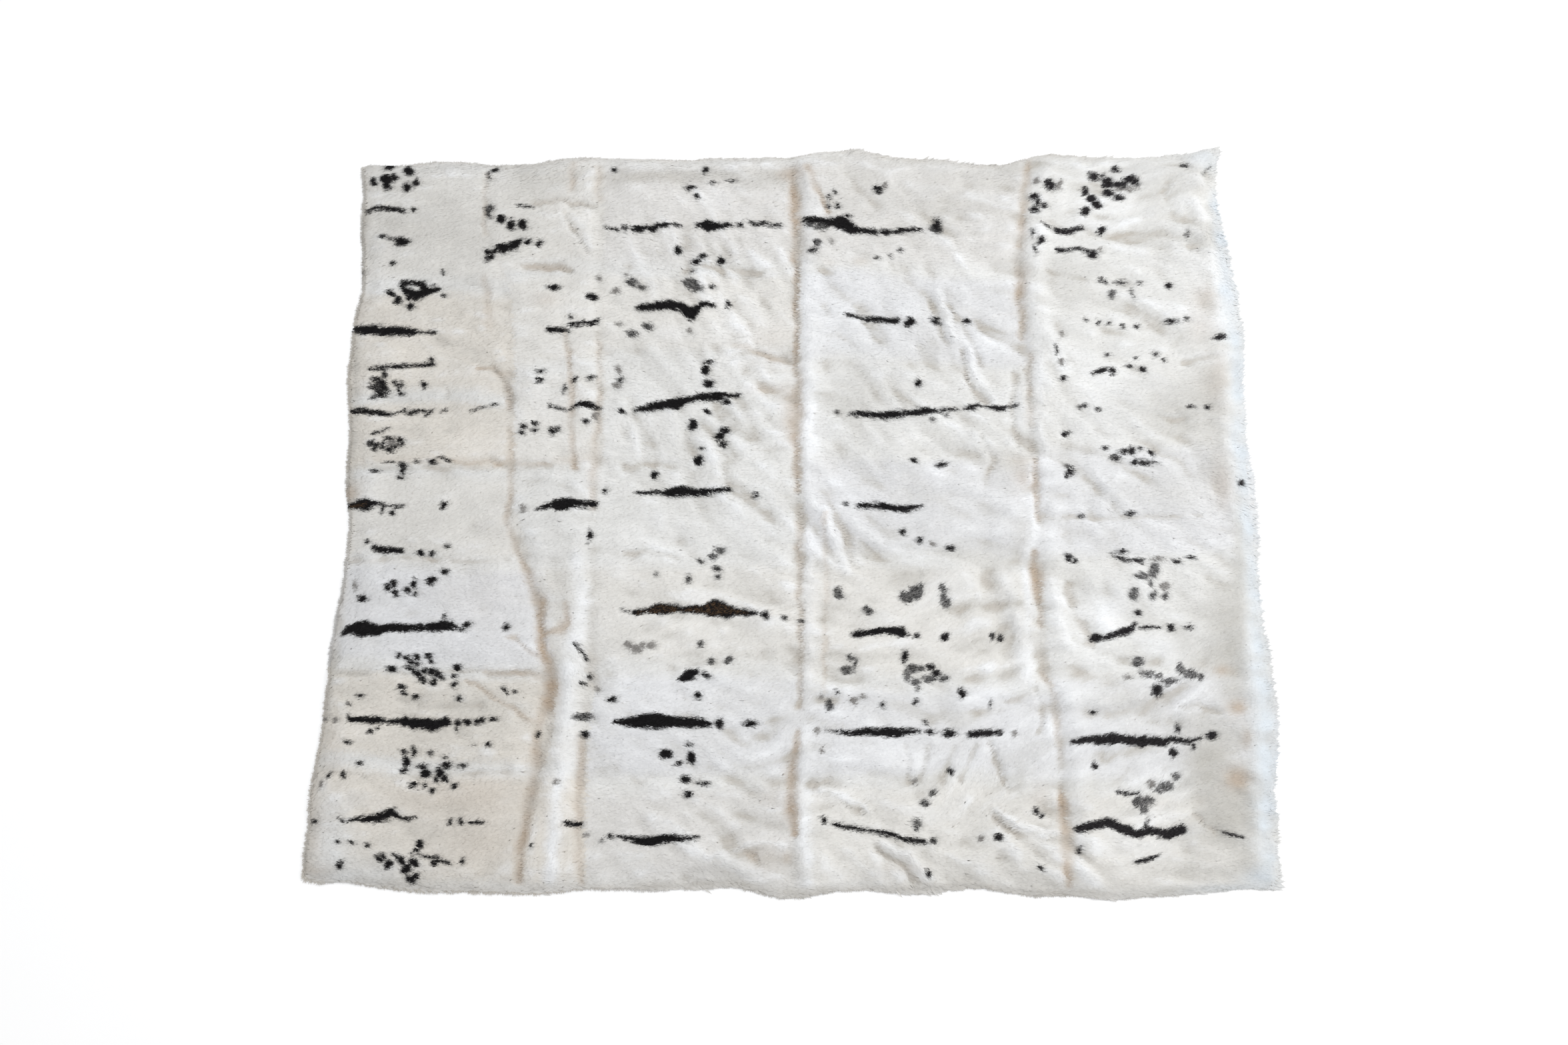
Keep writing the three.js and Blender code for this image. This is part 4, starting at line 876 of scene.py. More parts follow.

# places of painted highlight, painted shade and other tone of the fur, from the photo: x, y, half width, half
# height in pixels, strength
paintedLightAndTonePlaces = {
    "tan": [
        (820, 400, 34, 5, 0.45), (756, 560, 14, 5, 0.35), (860, 690, 36, 7, 0.22),
        (1150, 585, 28, 9, 0.3), (1185, 620, 14, 40, 0.35), (1150, 505, 34, 20, 0.14),
        (1185, 262, 16, 9, 0.6), (1290, 393, 16, 7, 0.25), (1246, 395, 14, 8, 0.18),
        (1535, 716, 16, 18, 0.35), (1533, 690, 26, 12, 0.2), (1855, 1062, 15, 12, 0.8),
        (1832, 1006, 12, 8, 0.6), (1856, 1170, 16, 13, 0.8), (1868, 1108, 8, 18, 0.5),
        (1893, 1128, 8, 10, 0.35), (1805, 447, 18, 20, 0.32), (1800, 492, 22, 24, 0.22),
        (1830, 560, 16, 40, 0.2), (1836, 736, 12, 30, 0.25), (640, 1200, 70, 26, 0.16),
        (720, 1190, 60, 26, 0.18), (700, 1270, 60, 26, 0.12), (520, 740, 14, 10, 0.35),
        (1160, 1190, 20, 20, 0.15), (1150, 1286, 26, 18, 0.2), (1180, 1287, 5, 8, 0.4),
        (1128, 1282, 9, 8, 0.35), (1560, 1195, 16, 20, 0.2), (640, 690, 120, 5, 0.14),
        (620, 842, 120, 4, 0.1), (820, 450, 20, 12, 0.2), (500, 1130, 16, 60, 0.14),
        (470, 1250, 12, 60, 0.2), (1240, 700, 20, 16, 0.08), (1350, 1302, 30, 6, 0.25),
        (480, 1306, 40, 9, 0.2), (1853, 1166, 18, 16, 0.5), (746, 697, 5, 3, 0.8),
        (524, 737, 14, 12, 0.4), (1822, 575, 24, 28, 0.14), (1828, 715, 16, 30, 0.18),
        (720, 895, 70, 50, 0.09), (730, 1240, 60, 70, 0.13), (975, 268, 90, 12, 0.07),
        (1150, 545, 40, 16, 0.12),
    ],
    "greige": [
        (1060, 262, 120, 10, 0.55), (1155, 268, 34, 12, 0.35), (1760, 268, 32, 26, 0.4),
        (1800, 285, 17, 10, 0.45), (1738, 305, 22, 34, 0.25), (1812, 362, 26, 18, 0.65),
        (1822, 340, 14, 20, 0.45), (1812, 440, 10, 34, 0.35), (1836, 925, 34, 60, 0.7),
        (1832, 985, 36, 34, 0.66), (1790, 915, 26, 14, 0.25), (1775, 965, 26, 20, 0.35),
        (1845, 1040, 30, 30, 0.5), (1800, 1085, 40, 20, 0.45), (1850, 1105, 40, 26, 0.6),
        (1818, 1135, 28, 24, 0.8), (1805, 1165, 22, 18, 0.65), (1845, 1215, 26, 34, 0.8),
        (1866, 1190, 20, 30, 0.55), (1830, 1250, 40, 20, 0.5), (1868, 1290, 24, 22, 0.55),
        (1820, 1310, 60, 20, 0.35), (1755, 1338, 50, 8, 0.4), (1530, 800, 14, 30, 0.4),
        (1515, 700, 24, 40, 0.3), (1445, 620, 20, 30, 0.22), (1350, 560, 60, 40, 0.1),
        (1290, 600, 30, 30, 0.2), (560, 470, 60, 50, 0.12), (600, 330, 70, 50, 0.1),
        (960, 1290, 60, 30, 0.25), (1100, 1300, 50, 26, 0.4), (1130, 1180, 40, 30, 0.18),
        (980, 1200, 60, 40, 0.12), (1000, 880, 60, 30, 0.1), (680, 1100, 60, 30, 0.16),
        (700, 560, 60, 40, 0.08), (800, 620, 40, 60, 0.08), (1480, 1240, 50, 40, 0.18),
        (1420, 1300, 60, 30, 0.14), (1530, 1172, 8, 26, 0.35), (1519, 930, 7, 60, 0.22),
        (1360, 420, 70, 30, 0.1), (1700, 1330, 40, 10, 0.25), (650, 930, 10, 5, 0.2),
        (1240, 270, 22, 26, 0.18), (1290, 290, 26, 30, 0.25), (1420, 260, 40, 18, 0.2),
        (720, 1052, 80, 34, 0.38), (810, 270, 60, 30, 0.4), (975, 268, 90, 12, 0.55),
        (855, 915, 24, 50, 0.18), (1410, 310, 130, 40, 0.18), (1640, 470, 50, 50, 0.14),
        (1770, 620, 70, 50, 0.32), (1720, 740, 110, 30, 0.14), (1680, 1050, 60, 24, 0.12),
        (1845, 1222, 50, 34, 0.45), (1860, 800, 14, 110, 0.4), (1852, 980, 20, 60, 0.35),
        (660, 340, 90, 60, 0.24), (690, 1250, 70, 50, 0.14), (1500, 900, 60, 40, 0.16),
        (770, 1240, 12, 60, 0.2), (1500, 260, 60, 14, 0.25), (1700, 256, 60, 8, 0.3),
        (1800, 262, 30, 7, 0.45), (1560, 262, 20, 16, 0.25), (1190, 1340, 60, 10, 0.3),
        (640, 1322, 160, 9, 0.22), (1480, 1338, 160, 9, 0.28), (1010, 1325, 120, 9, 0.25),
        (1775, 620, 60, 44, 0.3), (1850, 1225, 44, 30, 0.3), (1858, 850, 12, 130, 0.5),
        (1800, 1240, 30, 20, 0.3), (1680, 1050, 80, 34, 0.4), (1840, 1220, 60, 40, 0.35),
        (1745, 360, 60, 50, 0.26), (1770, 620, 60, 50, 0.24), (690, 440, 90, 60, 0.18),
        (1896, 1110, 22, 170, 0.55), (1805, 1150, 32, 46, 0.6), (1415, 310, 110, 34, 0.14),
        (812, 272, 60, 30, 0.2), (975, 270, 100, 12, 0.18), (1840, 1222, 50, 34, 0.3),
        (1720, 740, 120, 34, 0.18), (1816, 575, 30, 34, 0.42), (1826, 690, 24, 60, 0.42),
        (1853, 1162, 30, 26, 0.55), (1812, 1140, 34, 50, 0.35), (1800, 1290, 60, 30, 0.2),
        (690, 340, 90, 50, 0.1), (700, 790, 90, 60, 0.1), (720, 1060, 90, 40, 0.12),
        (1868, 850, 16, 150, 0.25),
    ],
    "white": [
        (1745, 340, 24, 14, 0.3), (1765, 300, 22, 12, 0.3), (1850, 430, 14, 60, 0.4),
        (1845, 330, 10, 50, 0.5), (1740, 975, 28, 20, 0.5), (1715, 1080, 40, 16, 0.3),
        (1770, 1190, 30, 10, 0.4), (1720, 1225, 50, 12, 0.4), (1700, 1270, 60, 12, 0.35),
        (930, 1040, 20, 24, 0.5), (1240, 640, 30, 40, 0.25), (1290, 520, 60, 40, 0.2),
        (1000, 500, 60, 12, 0.25), (950, 400, 30, 20, 0.25), (1870, 760, 12, 80, 0.45),
        (1862, 600, 12, 70, 0.4), (1640, 660, 50, 60, 0.25), (1700, 600, 60, 30, 0.2),
        (1420, 900, 60, 20, 0.2), (1480, 1050, 40, 20, 0.25), (1665, 905, 34, 30, 0.85),
        (492, 1270, 30, 50, 0.35), (560, 1312, 50, 14, 0.4), (500, 1205, 26, 20, 0.25),
        (820, 590, 50, 30, 0.25), (1110, 500, 50, 40, 0.25), (1140, 790, 40, 40, 0.2),
        (1630, 1015, 26, 60, 0.25), (1590, 1050, 16, 60, 0.35), (1240, 480, 20, 50, 0.3),
        (1400, 600, 60, 30, 0.15), (905, 1010, 30, 60, 0.2),
    ],
    "blue": [
        (1812, 238, 26, 18, 0.6), (500, 1270, 34, 70, 0.22), (540, 1300, 60, 24, 0.12),
        (1925, 1138, 14, 22, 0.6), (1890, 1318, 26, 12, 0.6), (1850, 1335, 60, 8, 0.45),
    ],
}
shading = {
    "westEdge": 0.06, "westFrom": 0.34, "westTo": 0.66, "rim": 0.03,
    "cloud": 0.12, "cloudSize": 0.085, "smallCloudSize": 0.036,
    # painted shade in the hollows and low swooshes, painted highlight on the tops and high swooshes
    "hollow": 0.38, "top": 0.24, "swoosh": 0.24, "hollowShadeTan": 0.22,
    "sheltered": 0.25, "shelteredTan": 0.10,  # the rim away from the key light
    "margin": 0.30, "ragged": 0.18, "streak": 0.10,
}


def makePaintedLightAndToneMaps():
    # how much of each painted highlight, painted shade and place tone the fur has, from 0 to 1
    px, py = photoPixel(mapX, mapY)
    shares = {}
    slow = twoNoises(shading["cloudSize"], shading["smallCloudSize"], 31)
    wavy = 0.35 + 0.65 * smoothStep(mapX, coat["flatWest"], coat["fullEast"])
    sheltered = smoothStep(mapX, 0.70, 0.50) * rimNear
    # painted shade: tan in the hollows, and greige in the hollows, dimples and low swooshes, both also on the
    # rim away from the key light; painted highlight: white on the raised places and high swooshes; greige also
    # takes slow clouds of real tone
    start = {
        "tan": shading["hollowShadeTan"] * smoothStep(hollows, 0.3, 1.4) + shading["shelteredTan"] * sheltered,
        "white": shading["top"] * (smoothStep(-hollows, 0.1, 1.0) + smoothStep(-dimples, 0.2, 1.0))
        + shading["swoosh"] * wavy * smoothStep(swooshes, 0.2, 1.8),
        "greige": shading["cloud"] * (0.8 + slow) + shading["hollow"] * smoothStep(hollows, 0.05, 1.0)
        + 0.5 * shading["hollow"] * smoothStep(dimples, 0.1, 1.2) + shading["sheltered"] * sheltered
        + shading["swoosh"] * wavy * smoothStep(-swooshes, 0.2, 1.8),
        "blue": np.zeros_like(hollows),
    }
    for kind, places in paintedLightAndTonePlaces.items():
        share = np.clip(start[kind], 0, 1)
        if kind in paintedShadeAndHighlightLines:
            addLines(share, px, py, kind, "strength")
        for x, y, wide, tall, strength in places:
            part = mapWindow([(x, y)], shading["margin"])
            away = ((px[part] - x) / wide) ** 2 + ((py[part] - y) / tall) ** 2
            soft = strength * np.exp(-away * (1 + shading["ragged"] * broadStreaks[part]))
            share[part] = 1 - (1 - share[part]) * (1 - soft)
        shares[kind] = np.clip(share * (1 + shading["streak"] * broadStreaks), 0, 1)
    return shares


paintedLightAndToneMaps = makePaintedLightAndToneMaps()
westShade = shading["westEdge"] * smoothStep(-mapX, shading["westFrom"], shading["westTo"])
edgeShade = 1 - westShade - shading["rim"] * rimNear
print("tones mapped")

outward = {"west": (-1, 0), "east": (1, 0), "north": (0, 1), "south": (0, -1)}
rimPuffs = {
    "reach": 0.0078, "uneven": 0.6, "size": 0.040,
    "knobPlace": (1815, 238), "knobSize": 0.024, "knobReach": 0.0065,  # the corner knob, by its photo pixel
}
solidCorners = {"apart": 2e-5, "topAbove": 0.0005, "floorBelow": 1e-5}  # metres


def rimSidesOf(name):
    # which sides of the pelt are on the blanket's own edge
    shown = {"a": ["west"], "e": ["east"]}.get(name[-2], [])
    return shown + {"1": ["north"], "7": ["south"]}.get(name[-1], [])


def peltSides(name):
    # the four sides of a pelt's plan: on the blanket's own edge they reach out among the rim locks
    co = np.array([v.co for v in frame["nodes"][name].data.vertices])
    # corners that the solid has both on the floor and above it are those of its upright sides
    keys = [tuple(key) for key in np.round(co[:, :2] / solidCorners["apart"]).astype(int)]
    above = {key for key, z in zip(keys, co[:, 2]) if z > solidCorners["topAbove"]}
    below = {key for key, z in zip(keys, co[:, 2]) if z < solidCorners["floorBelow"]}
    walls = {key: place for key, place in zip(keys, co[:, :2]) if key in above and key in below}
    points = np.array(list(walls.values()))
    middle = (points.min(0) + points.max(0)) / 2
    size = points.max(0) - points.min(0)
    points = points[np.argsort(np.arctan2(*((points - middle) / size).T[::-1]))]
    shares = (points - middle) / size
    ways = {"southWest": (-1, -1), "southEast": (1, -1), "northEast": (1, 1), "northWest": (-1, 1)}
    corner = {key: int(np.argmax(shares @ np.array(way))) for key, way in ways.items()}
    count = len(points)
    ends = {"south": ("southWest", "southEast"), "east": ("southEast", "northEast"),
            "north": ("northEast", "northWest"), "west": ("northWest", "southWest")}
    runs = {side: (corner[start] + np.arange((corner[end] - corner[start]) % count + 1)) % count
            for side, (start, end) in ends.items()}
    uneven = rimPuffs["uneven"] * smoothNoise(points[:, 0], points[:, 1], rimPuffs["size"], 61)
    puffs = rimPuffs["reach"] * (1 + uneven)
    knobAway = np.hypot(*(points - blanketPlace(*rimPuffs["knobPlace"])).T) / rimPuffs["knobSize"]
    puffs += rimPuffs["knobReach"] * np.exp(-knobAway ** 2)
    grown = points.copy()
    for side in rimSidesOf(name):
        grown[runs[side]] += puffs[runs[side], None] * np.array(outward[side])
    return {side: grown[run][::-1] if side in ("north", "west") else grown[run] for side, run in runs.items()}


def alongSide(side, share):
    # places at given shares of a side's length
    steps = np.hypot(*np.diff(side, axis=0).T)
    along = np.concatenate([[0], np.cumsum(steps)]) / steps.sum()
    return np.stack([np.interp(share, along, side[:, 0]), np.interp(share, along, side[:, 1])], -1)


def peltPlace(sides, u, v):
    # a place on the pelt: u from west to east and v from south to north, both 0 to 1
    south, north = alongSide(sides["south"], u), alongSide(sides["north"], u)
    west, east = alongSide(sides["west"], v), alongSide(sides["east"], v)
    u, v = u[..., None], v[..., None]
    corners = ((1 - u) * (1 - v) * sides["south"][0] + u * (1 - v) * sides["south"][-1]
               + (1 - u) * v * sides["north"][0] + u * v * sides["north"][-1])
    return (1 - v) * south + v * north + (1 - u) * west + u * east - corners


hairTint = {
    "broad": 0.018, "fine": 0.006, "each": 0.012,  # how the shade strays by streak and by hair
    "eastWhite": 0.10, "eastLift": 1.6,  # the marks have more white hairs, and are paler, to the east
    "vary": (0.5, 1.9), "brownVary": 1.6, "paler": 0.26, "palerBend": 1.5,
    "shown": {"faint": 1.12, "mottled": 1.12, "dark": 1.2, "brown": 0.62},  # share of hairs, over 1 for all
    "inkFrom": -2.7, "inkTo": 2.2, "darkest": 0.003, "lightest": 0.95,
}


def furColour(x, y, tone, toneShare, draw, fuzz, grow=0.0):
    # base colour of hair at x, y, rows of several places along each tuft: white, painted highlight and shade
    # with places of other tone, dark marks
    count = x.shape[-1]
    tone, plain = np.array(furTones[tone]), np.array(furTones["fur_white"])
    colour = (plain + (tone - plain) * toneShare[:, None]) * np.ones(x.shape + (1,))
    shade = 1 + hairTint["broad"] * readMap(broadStreaks, x, y)
    shade = shade + hairTint["fine"] * readMap(fineStreaks, x, y)
    shade = shade * readMap(edgeShade, x, y) * (1 + hairTint["each"] * draw.normal(size=count))
    # lays on the painted highlight, the painted shade and the places of other tone
    for kind, paintedLightAndTone in paintedLightAndPlaceTones.items():
        share = readMap(paintedLightAndToneMaps[kind], x, y)[..., None]
        colour = colour * (1 - share) + np.array(paintedLightAndTone) * share
    colour = colour * shade[..., None]
    stray = fuzz * draw.normal(size=count)
    chance = draw.uniform(size=count) + hairTint["eastWhite"] * smoothStep(x, -0.05, 0.55)
    lift = 1 + hairTint["eastLift"] * smoothStep(x, 0.0, 0.6)[..., None]
    vary = draw.uniform(*hairTint["vary"], size=count)[:, None]
    paler = 1 - hairTint["paler"] * draw.uniform(size=count) ** hairTint["palerBend"]
    mixed = vary * lift
    tints = {"dark": mixed, "mottled": mixed, "brown": vary ** hairTint["brownVary"], "faint": 1.0}
    for kind, most in hairTint["shown"].items():
        depth = readMap(inkMaps[kind], x, y) + grow + stray
        share = smoothStep(depth, hairTint["inkFrom"], hairTint["inkTo"])
        share = share * smoothStep(most - chance, -0.02, 0.10)
        if kind in ("faint", "mottled"):
            share = share * paler
        ink = np.array(markTones[kind]) * tints[kind]
        colour = colour * (1 - share[..., None]) + ink * share[..., None]
    return np.clip(colour, hairTint["darkest"], hairTint["lightest"])


# finishes: grain and nap are noise scales, and shade is how dark and how light the noise makes the colour
finishes = {
    "rabbitFur": {
        "roughness": 0.85, "sheen": 0.0, "bump": 0.08, "bumpDepth": 0.0004,
        "grain": 9.0, "detail": 2.0, "shade": (0.955, 1.04),
    },
    "underfur": {
        "roughness": 0.9, "sheen": 0.0, "bump": 0.6, "bumpDepth": 0.002,
        "grain": 420.0, "detail": 4.0, "shade": (0.93, 1.06),
    },
    "suedeHide": {
        "roughness": 0.85, "sheen": 0.15, "bump": 0.4, "bumpDepth": 0.0006,
        "grain": 14.0, "detail": 4.0, "nap": 900.0, "napDetail": 3.0,
        "dark": (0.3, (0.60, 0.52, 0.41, 1)), "light": (0.7, (0.76, 0.71, 0.61, 1)),
    },
    "sheenRoughness": 0.5, "specular": 0.12,
}


def newMaterial(name):
    # a plain material with what every finish sets
    material = bpy.data.materials.new(name)
    material.use_nodes = True
    shader = material.node_tree.nodes["Principled BSDF"]
    shader.inputs["Roughness"].default_value = finishes[name]["roughness"]
    shader.inputs["Sheen Weight"].default_value = finishes[name]["sheen"]
    shader.inputs["Sheen Roughness"].default_value = finishes["sheenRoughness"]
    shader.inputs["Specular IOR Level"].default_value = finishes["specular"]
    return material, material.node_tree.nodes, material.node_tree.links, shader


def addNoise(nodes, links, vector, scale, detail):
    noise = nodes.new("ShaderNodeTexNoise")
    noise.inputs["Scale"].default_value = scale
    noise.inputs["Detail"].default_value = detail
    links.new(vector, noise.inputs["Vector"])
    return noise.outputs["Fac"]


def addBump(nodes, links, height, look, shader):
    bump = nodes.new("ShaderNodeBump")
    bump.inputs["Strength"].default_value = look["bump"]
    bump.inputs["Distance"].default_value = look["bumpDepth"]
    links.new(height, bump.inputs["Height"])
    links.new(bump.outputs["Normal"], shader.inputs["Normal"])


def makeFurMaterial(name, hairMap=None):
    # the colour stored on the mesh, shaded by strands along a hair map or by fluff all round
    look = finishes[name]
    material, nodes, links, shader = newMaterial(name)
    colour = nodes.new("ShaderNodeAttribute")
    colour.attribute_name = "furColour"
    if hairMap:
        hairs = nodes.new("ShaderNodeUVMap")
        hairs.uv_map = hairMap
        place = hairs.outputs["UV"]
    else:
        place = nodes.new("ShaderNodeTexCoord").outputs["Object"]
    strands = addNoise(nodes, links, place, look["grain"], look["detail"])
    spread = nodes.new("ShaderNodeMapRange")
    spread.inputs["To Min"].default_value = look["shade"][0]
    spread.inputs["To Max"].default_value = look["shade"][1]
    links.new(strands, spread.inputs["Value"])
    scale = nodes.new("ShaderNodeVectorMath")
    scale.operation = "SCALE"
    links.new(colour.outputs["Color"], scale.inputs[0])
    links.new(spread.outputs["Result"], scale.inputs["Scale"])
    links.new(scale.outputs["Vector"], shader.inputs["Base Color"])
    addBump(nodes, links, strands, look, shader)
    return material


def makeHideMaterial(name):
    # the suede of the underside: soft blotches and a fine nap
    look = finishes[name]
    material, nodes, links, shader = newMaterial(name)
    place = nodes.new("ShaderNodeTexCoord").outputs["Object"]
    blotches = addNoise(nodes, links, place, look["grain"], look["detail"])
    ramp = nodes.new("ShaderNodeValToRGB")
    for element, (position, colour) in zip(ramp.color_ramp.elements, (look["dark"], look["light"])):
        element.position = position
        element.color = colour
    links.new(blotches, ramp.inputs["Fac"])
    links.new(ramp.outputs["Color"], shader.inputs["Base Color"])
    addBump(nodes, links, addNoise(nodes, links, place, look["nap"], look["napDetail"]), look, shader)
    return material


coatMaterial = makeFurMaterial("rabbitFur", "hairs")
underfurMaterial = makeFurMaterial("underfur")
hideMaterial = makeHideMaterial("suedeHide")
print("materials made")

hide = {
    "netStep": 0.0106, "fewest": 6, "thinnest": 0.0022, "edgeThick": 0.0012,
    "below": 0.6,  # of the pile, under the tops of the tufts
    "tint": (1.16, 1.15, 1.13),  # painted light: the underfur is made lighter than the coat, against the shade in the gaps between the tufts
    "fuzz": 0.3, "grow": 1.0, "toneEase": 0.14,
}


def sideLength(side):
    # straight from end to end
    return np.linalg.norm(side[-1] - side[0])


def makeHide(name, sides, tone, draw):
    # the pelt's leather and underfur: a grid on the pelt's plan, extruded down to the floor
    bpy.ops.object.select_all(action="DESELECT")
    bpy.ops.mesh.primitive_grid_add(
        x_subdivisions=max(hide["fewest"], round(sideLength(sides["south"]) / hide["netStep"])),
        y_subdivisions=max(hide["fewest"], round(sideLength(sides["west"]) / hide["netStep"])), size=1)
    piece = bpy.context.object
    piece.name = name
    mesh = piece.data
    bpy.ops.object.mode_set(mode="EDIT")
    bpy.ops.mesh.select_all(action="SELECT")
    bpy.ops.mesh.extrude_region_move(TRANSFORM_OT_translate={"value": (0, 0, -1)})
    bpy.ops.mesh.select_all(action="SELECT")
    bpy.ops.mesh.normals_make_consistent(inside=False)
    bpy.ops.object.mode_set(mode="OBJECT")
    co = np.empty(len(mesh.vertices) * 3)
    mesh.vertices.foreach_get("co", co)
    co = co.reshape(-1, 3)
    upper = co[:, 2] > -0.5  # the grid itself, which runs from -0.5 to 0.5 each way
    plan = peltPlace(sides, co[:, 0] + 0.5, co[:, 1] + 0.5)
    top = readMap(lowMap, plan[:, 0], plan[:, 1]) - hide["below"] * coat["pile"]
    edge = np.minimum(0.5 - np.abs(co[:, 0]), 0.5 - np.abs(co[:, 1])) < 1e-4
    height = np.where(upper, np.maximum(top, np.where(edge, hide["edgeThick"], hide["thinnest"])), 0)
    mesh.vertices.foreach_set("co", np.column_stack([plan, height]).ravel())
    toneShare = smoothStep(0.5 - np.abs(co[:, 1]), 0.0, hide["toneEase"])
    colour = furColour(plan[:, 0], plan[:, 1], tone, toneShare, draw, hide["fuzz"], hide["grow"])
    # painted light that offsets the shade in the gaps between the tufts
    colour = colour * np.array(hide["tint"])
    layer = mesh.color_attributes.new("furColour", "FLOAT_COLOR", "POINT")
    layer.data.foreach_set("color", np.column_stack([colour, np.ones(len(colour))]).ravel())
    mesh.materials.append(underfurMaterial)
    mesh.materials.append(hideMaterial)
    mesh.update()
    for face in mesh.polygons:
        face.material_index = 1 if face.normal.z < -0.5 else 0
        face.use_smooth = face.normal.z > 0.3
    return piece


tuft = {
    "perSquareCm": 15.4, "length": 0.0160, "width": 0.0046, "middle": 0.48,
    "fan": 11.0,  # degrees that tufts stray from the lie of the coat
    "lean": 0.06, "steepest": 0.62,  # of the normals that tufts shade with
    "steepRise": 0.9,  # the steepest that a tuft itself lies
    "rimStep": 0.00018, "rimLength": 0.0054, "rimWidth": 0.0011, "rimFan": 34.0, "rimReach": 0.007,
    "rimInside": -0.001, "rimLean": 30.0, "rimUneven": 0.20,
    "lockSize": 0.016, "smallLockSize": 0.007, "leanSize": 0.012,
    "quickShare": 0.25, "quickRim": 0.3,
    "markSquareCm": 46.0, "markLength": 0.0082, "markWidth": 0.0017, "markFan": 15.0,  # finer over the marks
    "markFrom": -0.3,  # photo pixels inside a mark
    "uneven": (0.65, 1.3), "unevenWidth": (0.7, 1.3), "unevenRoot": (0.7, 1.0),
    # how far below the top of the fur each point of a tuft is: in the body, at the rim, on a mark
    "rootLow": (coat["pile"], coat["pile"], 0.0008), "bendLow": (0.0006, 0.0014, -0.0001),
    "tipLow": (0.0, 0.0008, -0.0005), "lowSpread": 0.00020,
    "floorGap": 0.0006, "floorSpread": 0.0022,  # so that none lie in one another on the floor
    "hairUV": [(0, 0.4), (0.12, 0.9), (0.25, 0.4), (0.12, -0.1)], "hairSpread": 50,
    "bakeUV": [(0.06, 0.5), (0.5, 0.94), (0.94, 0.5), (0.5, 0.06)],
    "fuzz": 0.8, "markFuzz": 1.1, "rootTint": (0.95, 0.93, 0.90), "colourStops": (0.55, 0.88),
}


def tuftRoots(sides, draw, perSquareCm):
    # a jittered net of roots over the pelt, with how far each is from its row seams
    wide = (sideLength(sides["south"]) + sideLength(sides["north"])) / 2
    tall = (sideLength(sides["west"]) + sideLength(sides["east"])) / 2
    density = perSquareCm * 1 * 1e4  # in each square metre
    across = int(wide * math.sqrt(density))
    along = int(tall * math.sqrt(density))
    u, v = np.meshgrid((np.arange(across) + 0.5) / across, (np.arange(along) + 0.5) / along)
    u = np.clip(u + draw.uniform(-0.5, 0.5, u.shape) / across, 0, 1).ravel()
    v = np.clip(v + draw.uniform(-0.5, 0.5, v.shape) / along, 0, 1).ravel()
    return peltPlace(sides, u, v), smoothStep(np.minimum(v, 1 - v), 0.0, hide["toneEase"])


def rimRoots(name, sides, draw):
    # roots along the blanket's own edge, with the way out from it
    roots, turns, sizes = [np.zeros((0, 2))], [np.zeros(0)], [np.zeros(0)]
    for side in rimSidesOf(name):
        length = np.hypot(*np.diff(sides[side], axis=0).T).sum()
        count = int(length / tuft["rimStep"] * (1))
        place = alongSide(sides[side], draw.uniform(0, 1, count))
        way = np.array(outward[side])
        x, y = place.T
        locks = smoothNoise(x, y, tuft["lockSize"], 62) + smoothNoise(x, y, tuft["smallLockSize"], 63)
        leans = smoothNoise(x, y, tuft["leanSize"], 64)
        roots.append(place - way * draw.uniform(tuft["rimInside"], tuft["rimReach"], (count, 1)))
        turns.append(math.atan2(way[1], way[0]) + np.radians(tuft["rimLean"]) * leans)
        sizes.append(tuft["rimLength"] * (1 + tuft["rimUneven"] * locks))
    return np.concatenate(roots), np.concatenate(turns), np.concatenate(sizes)


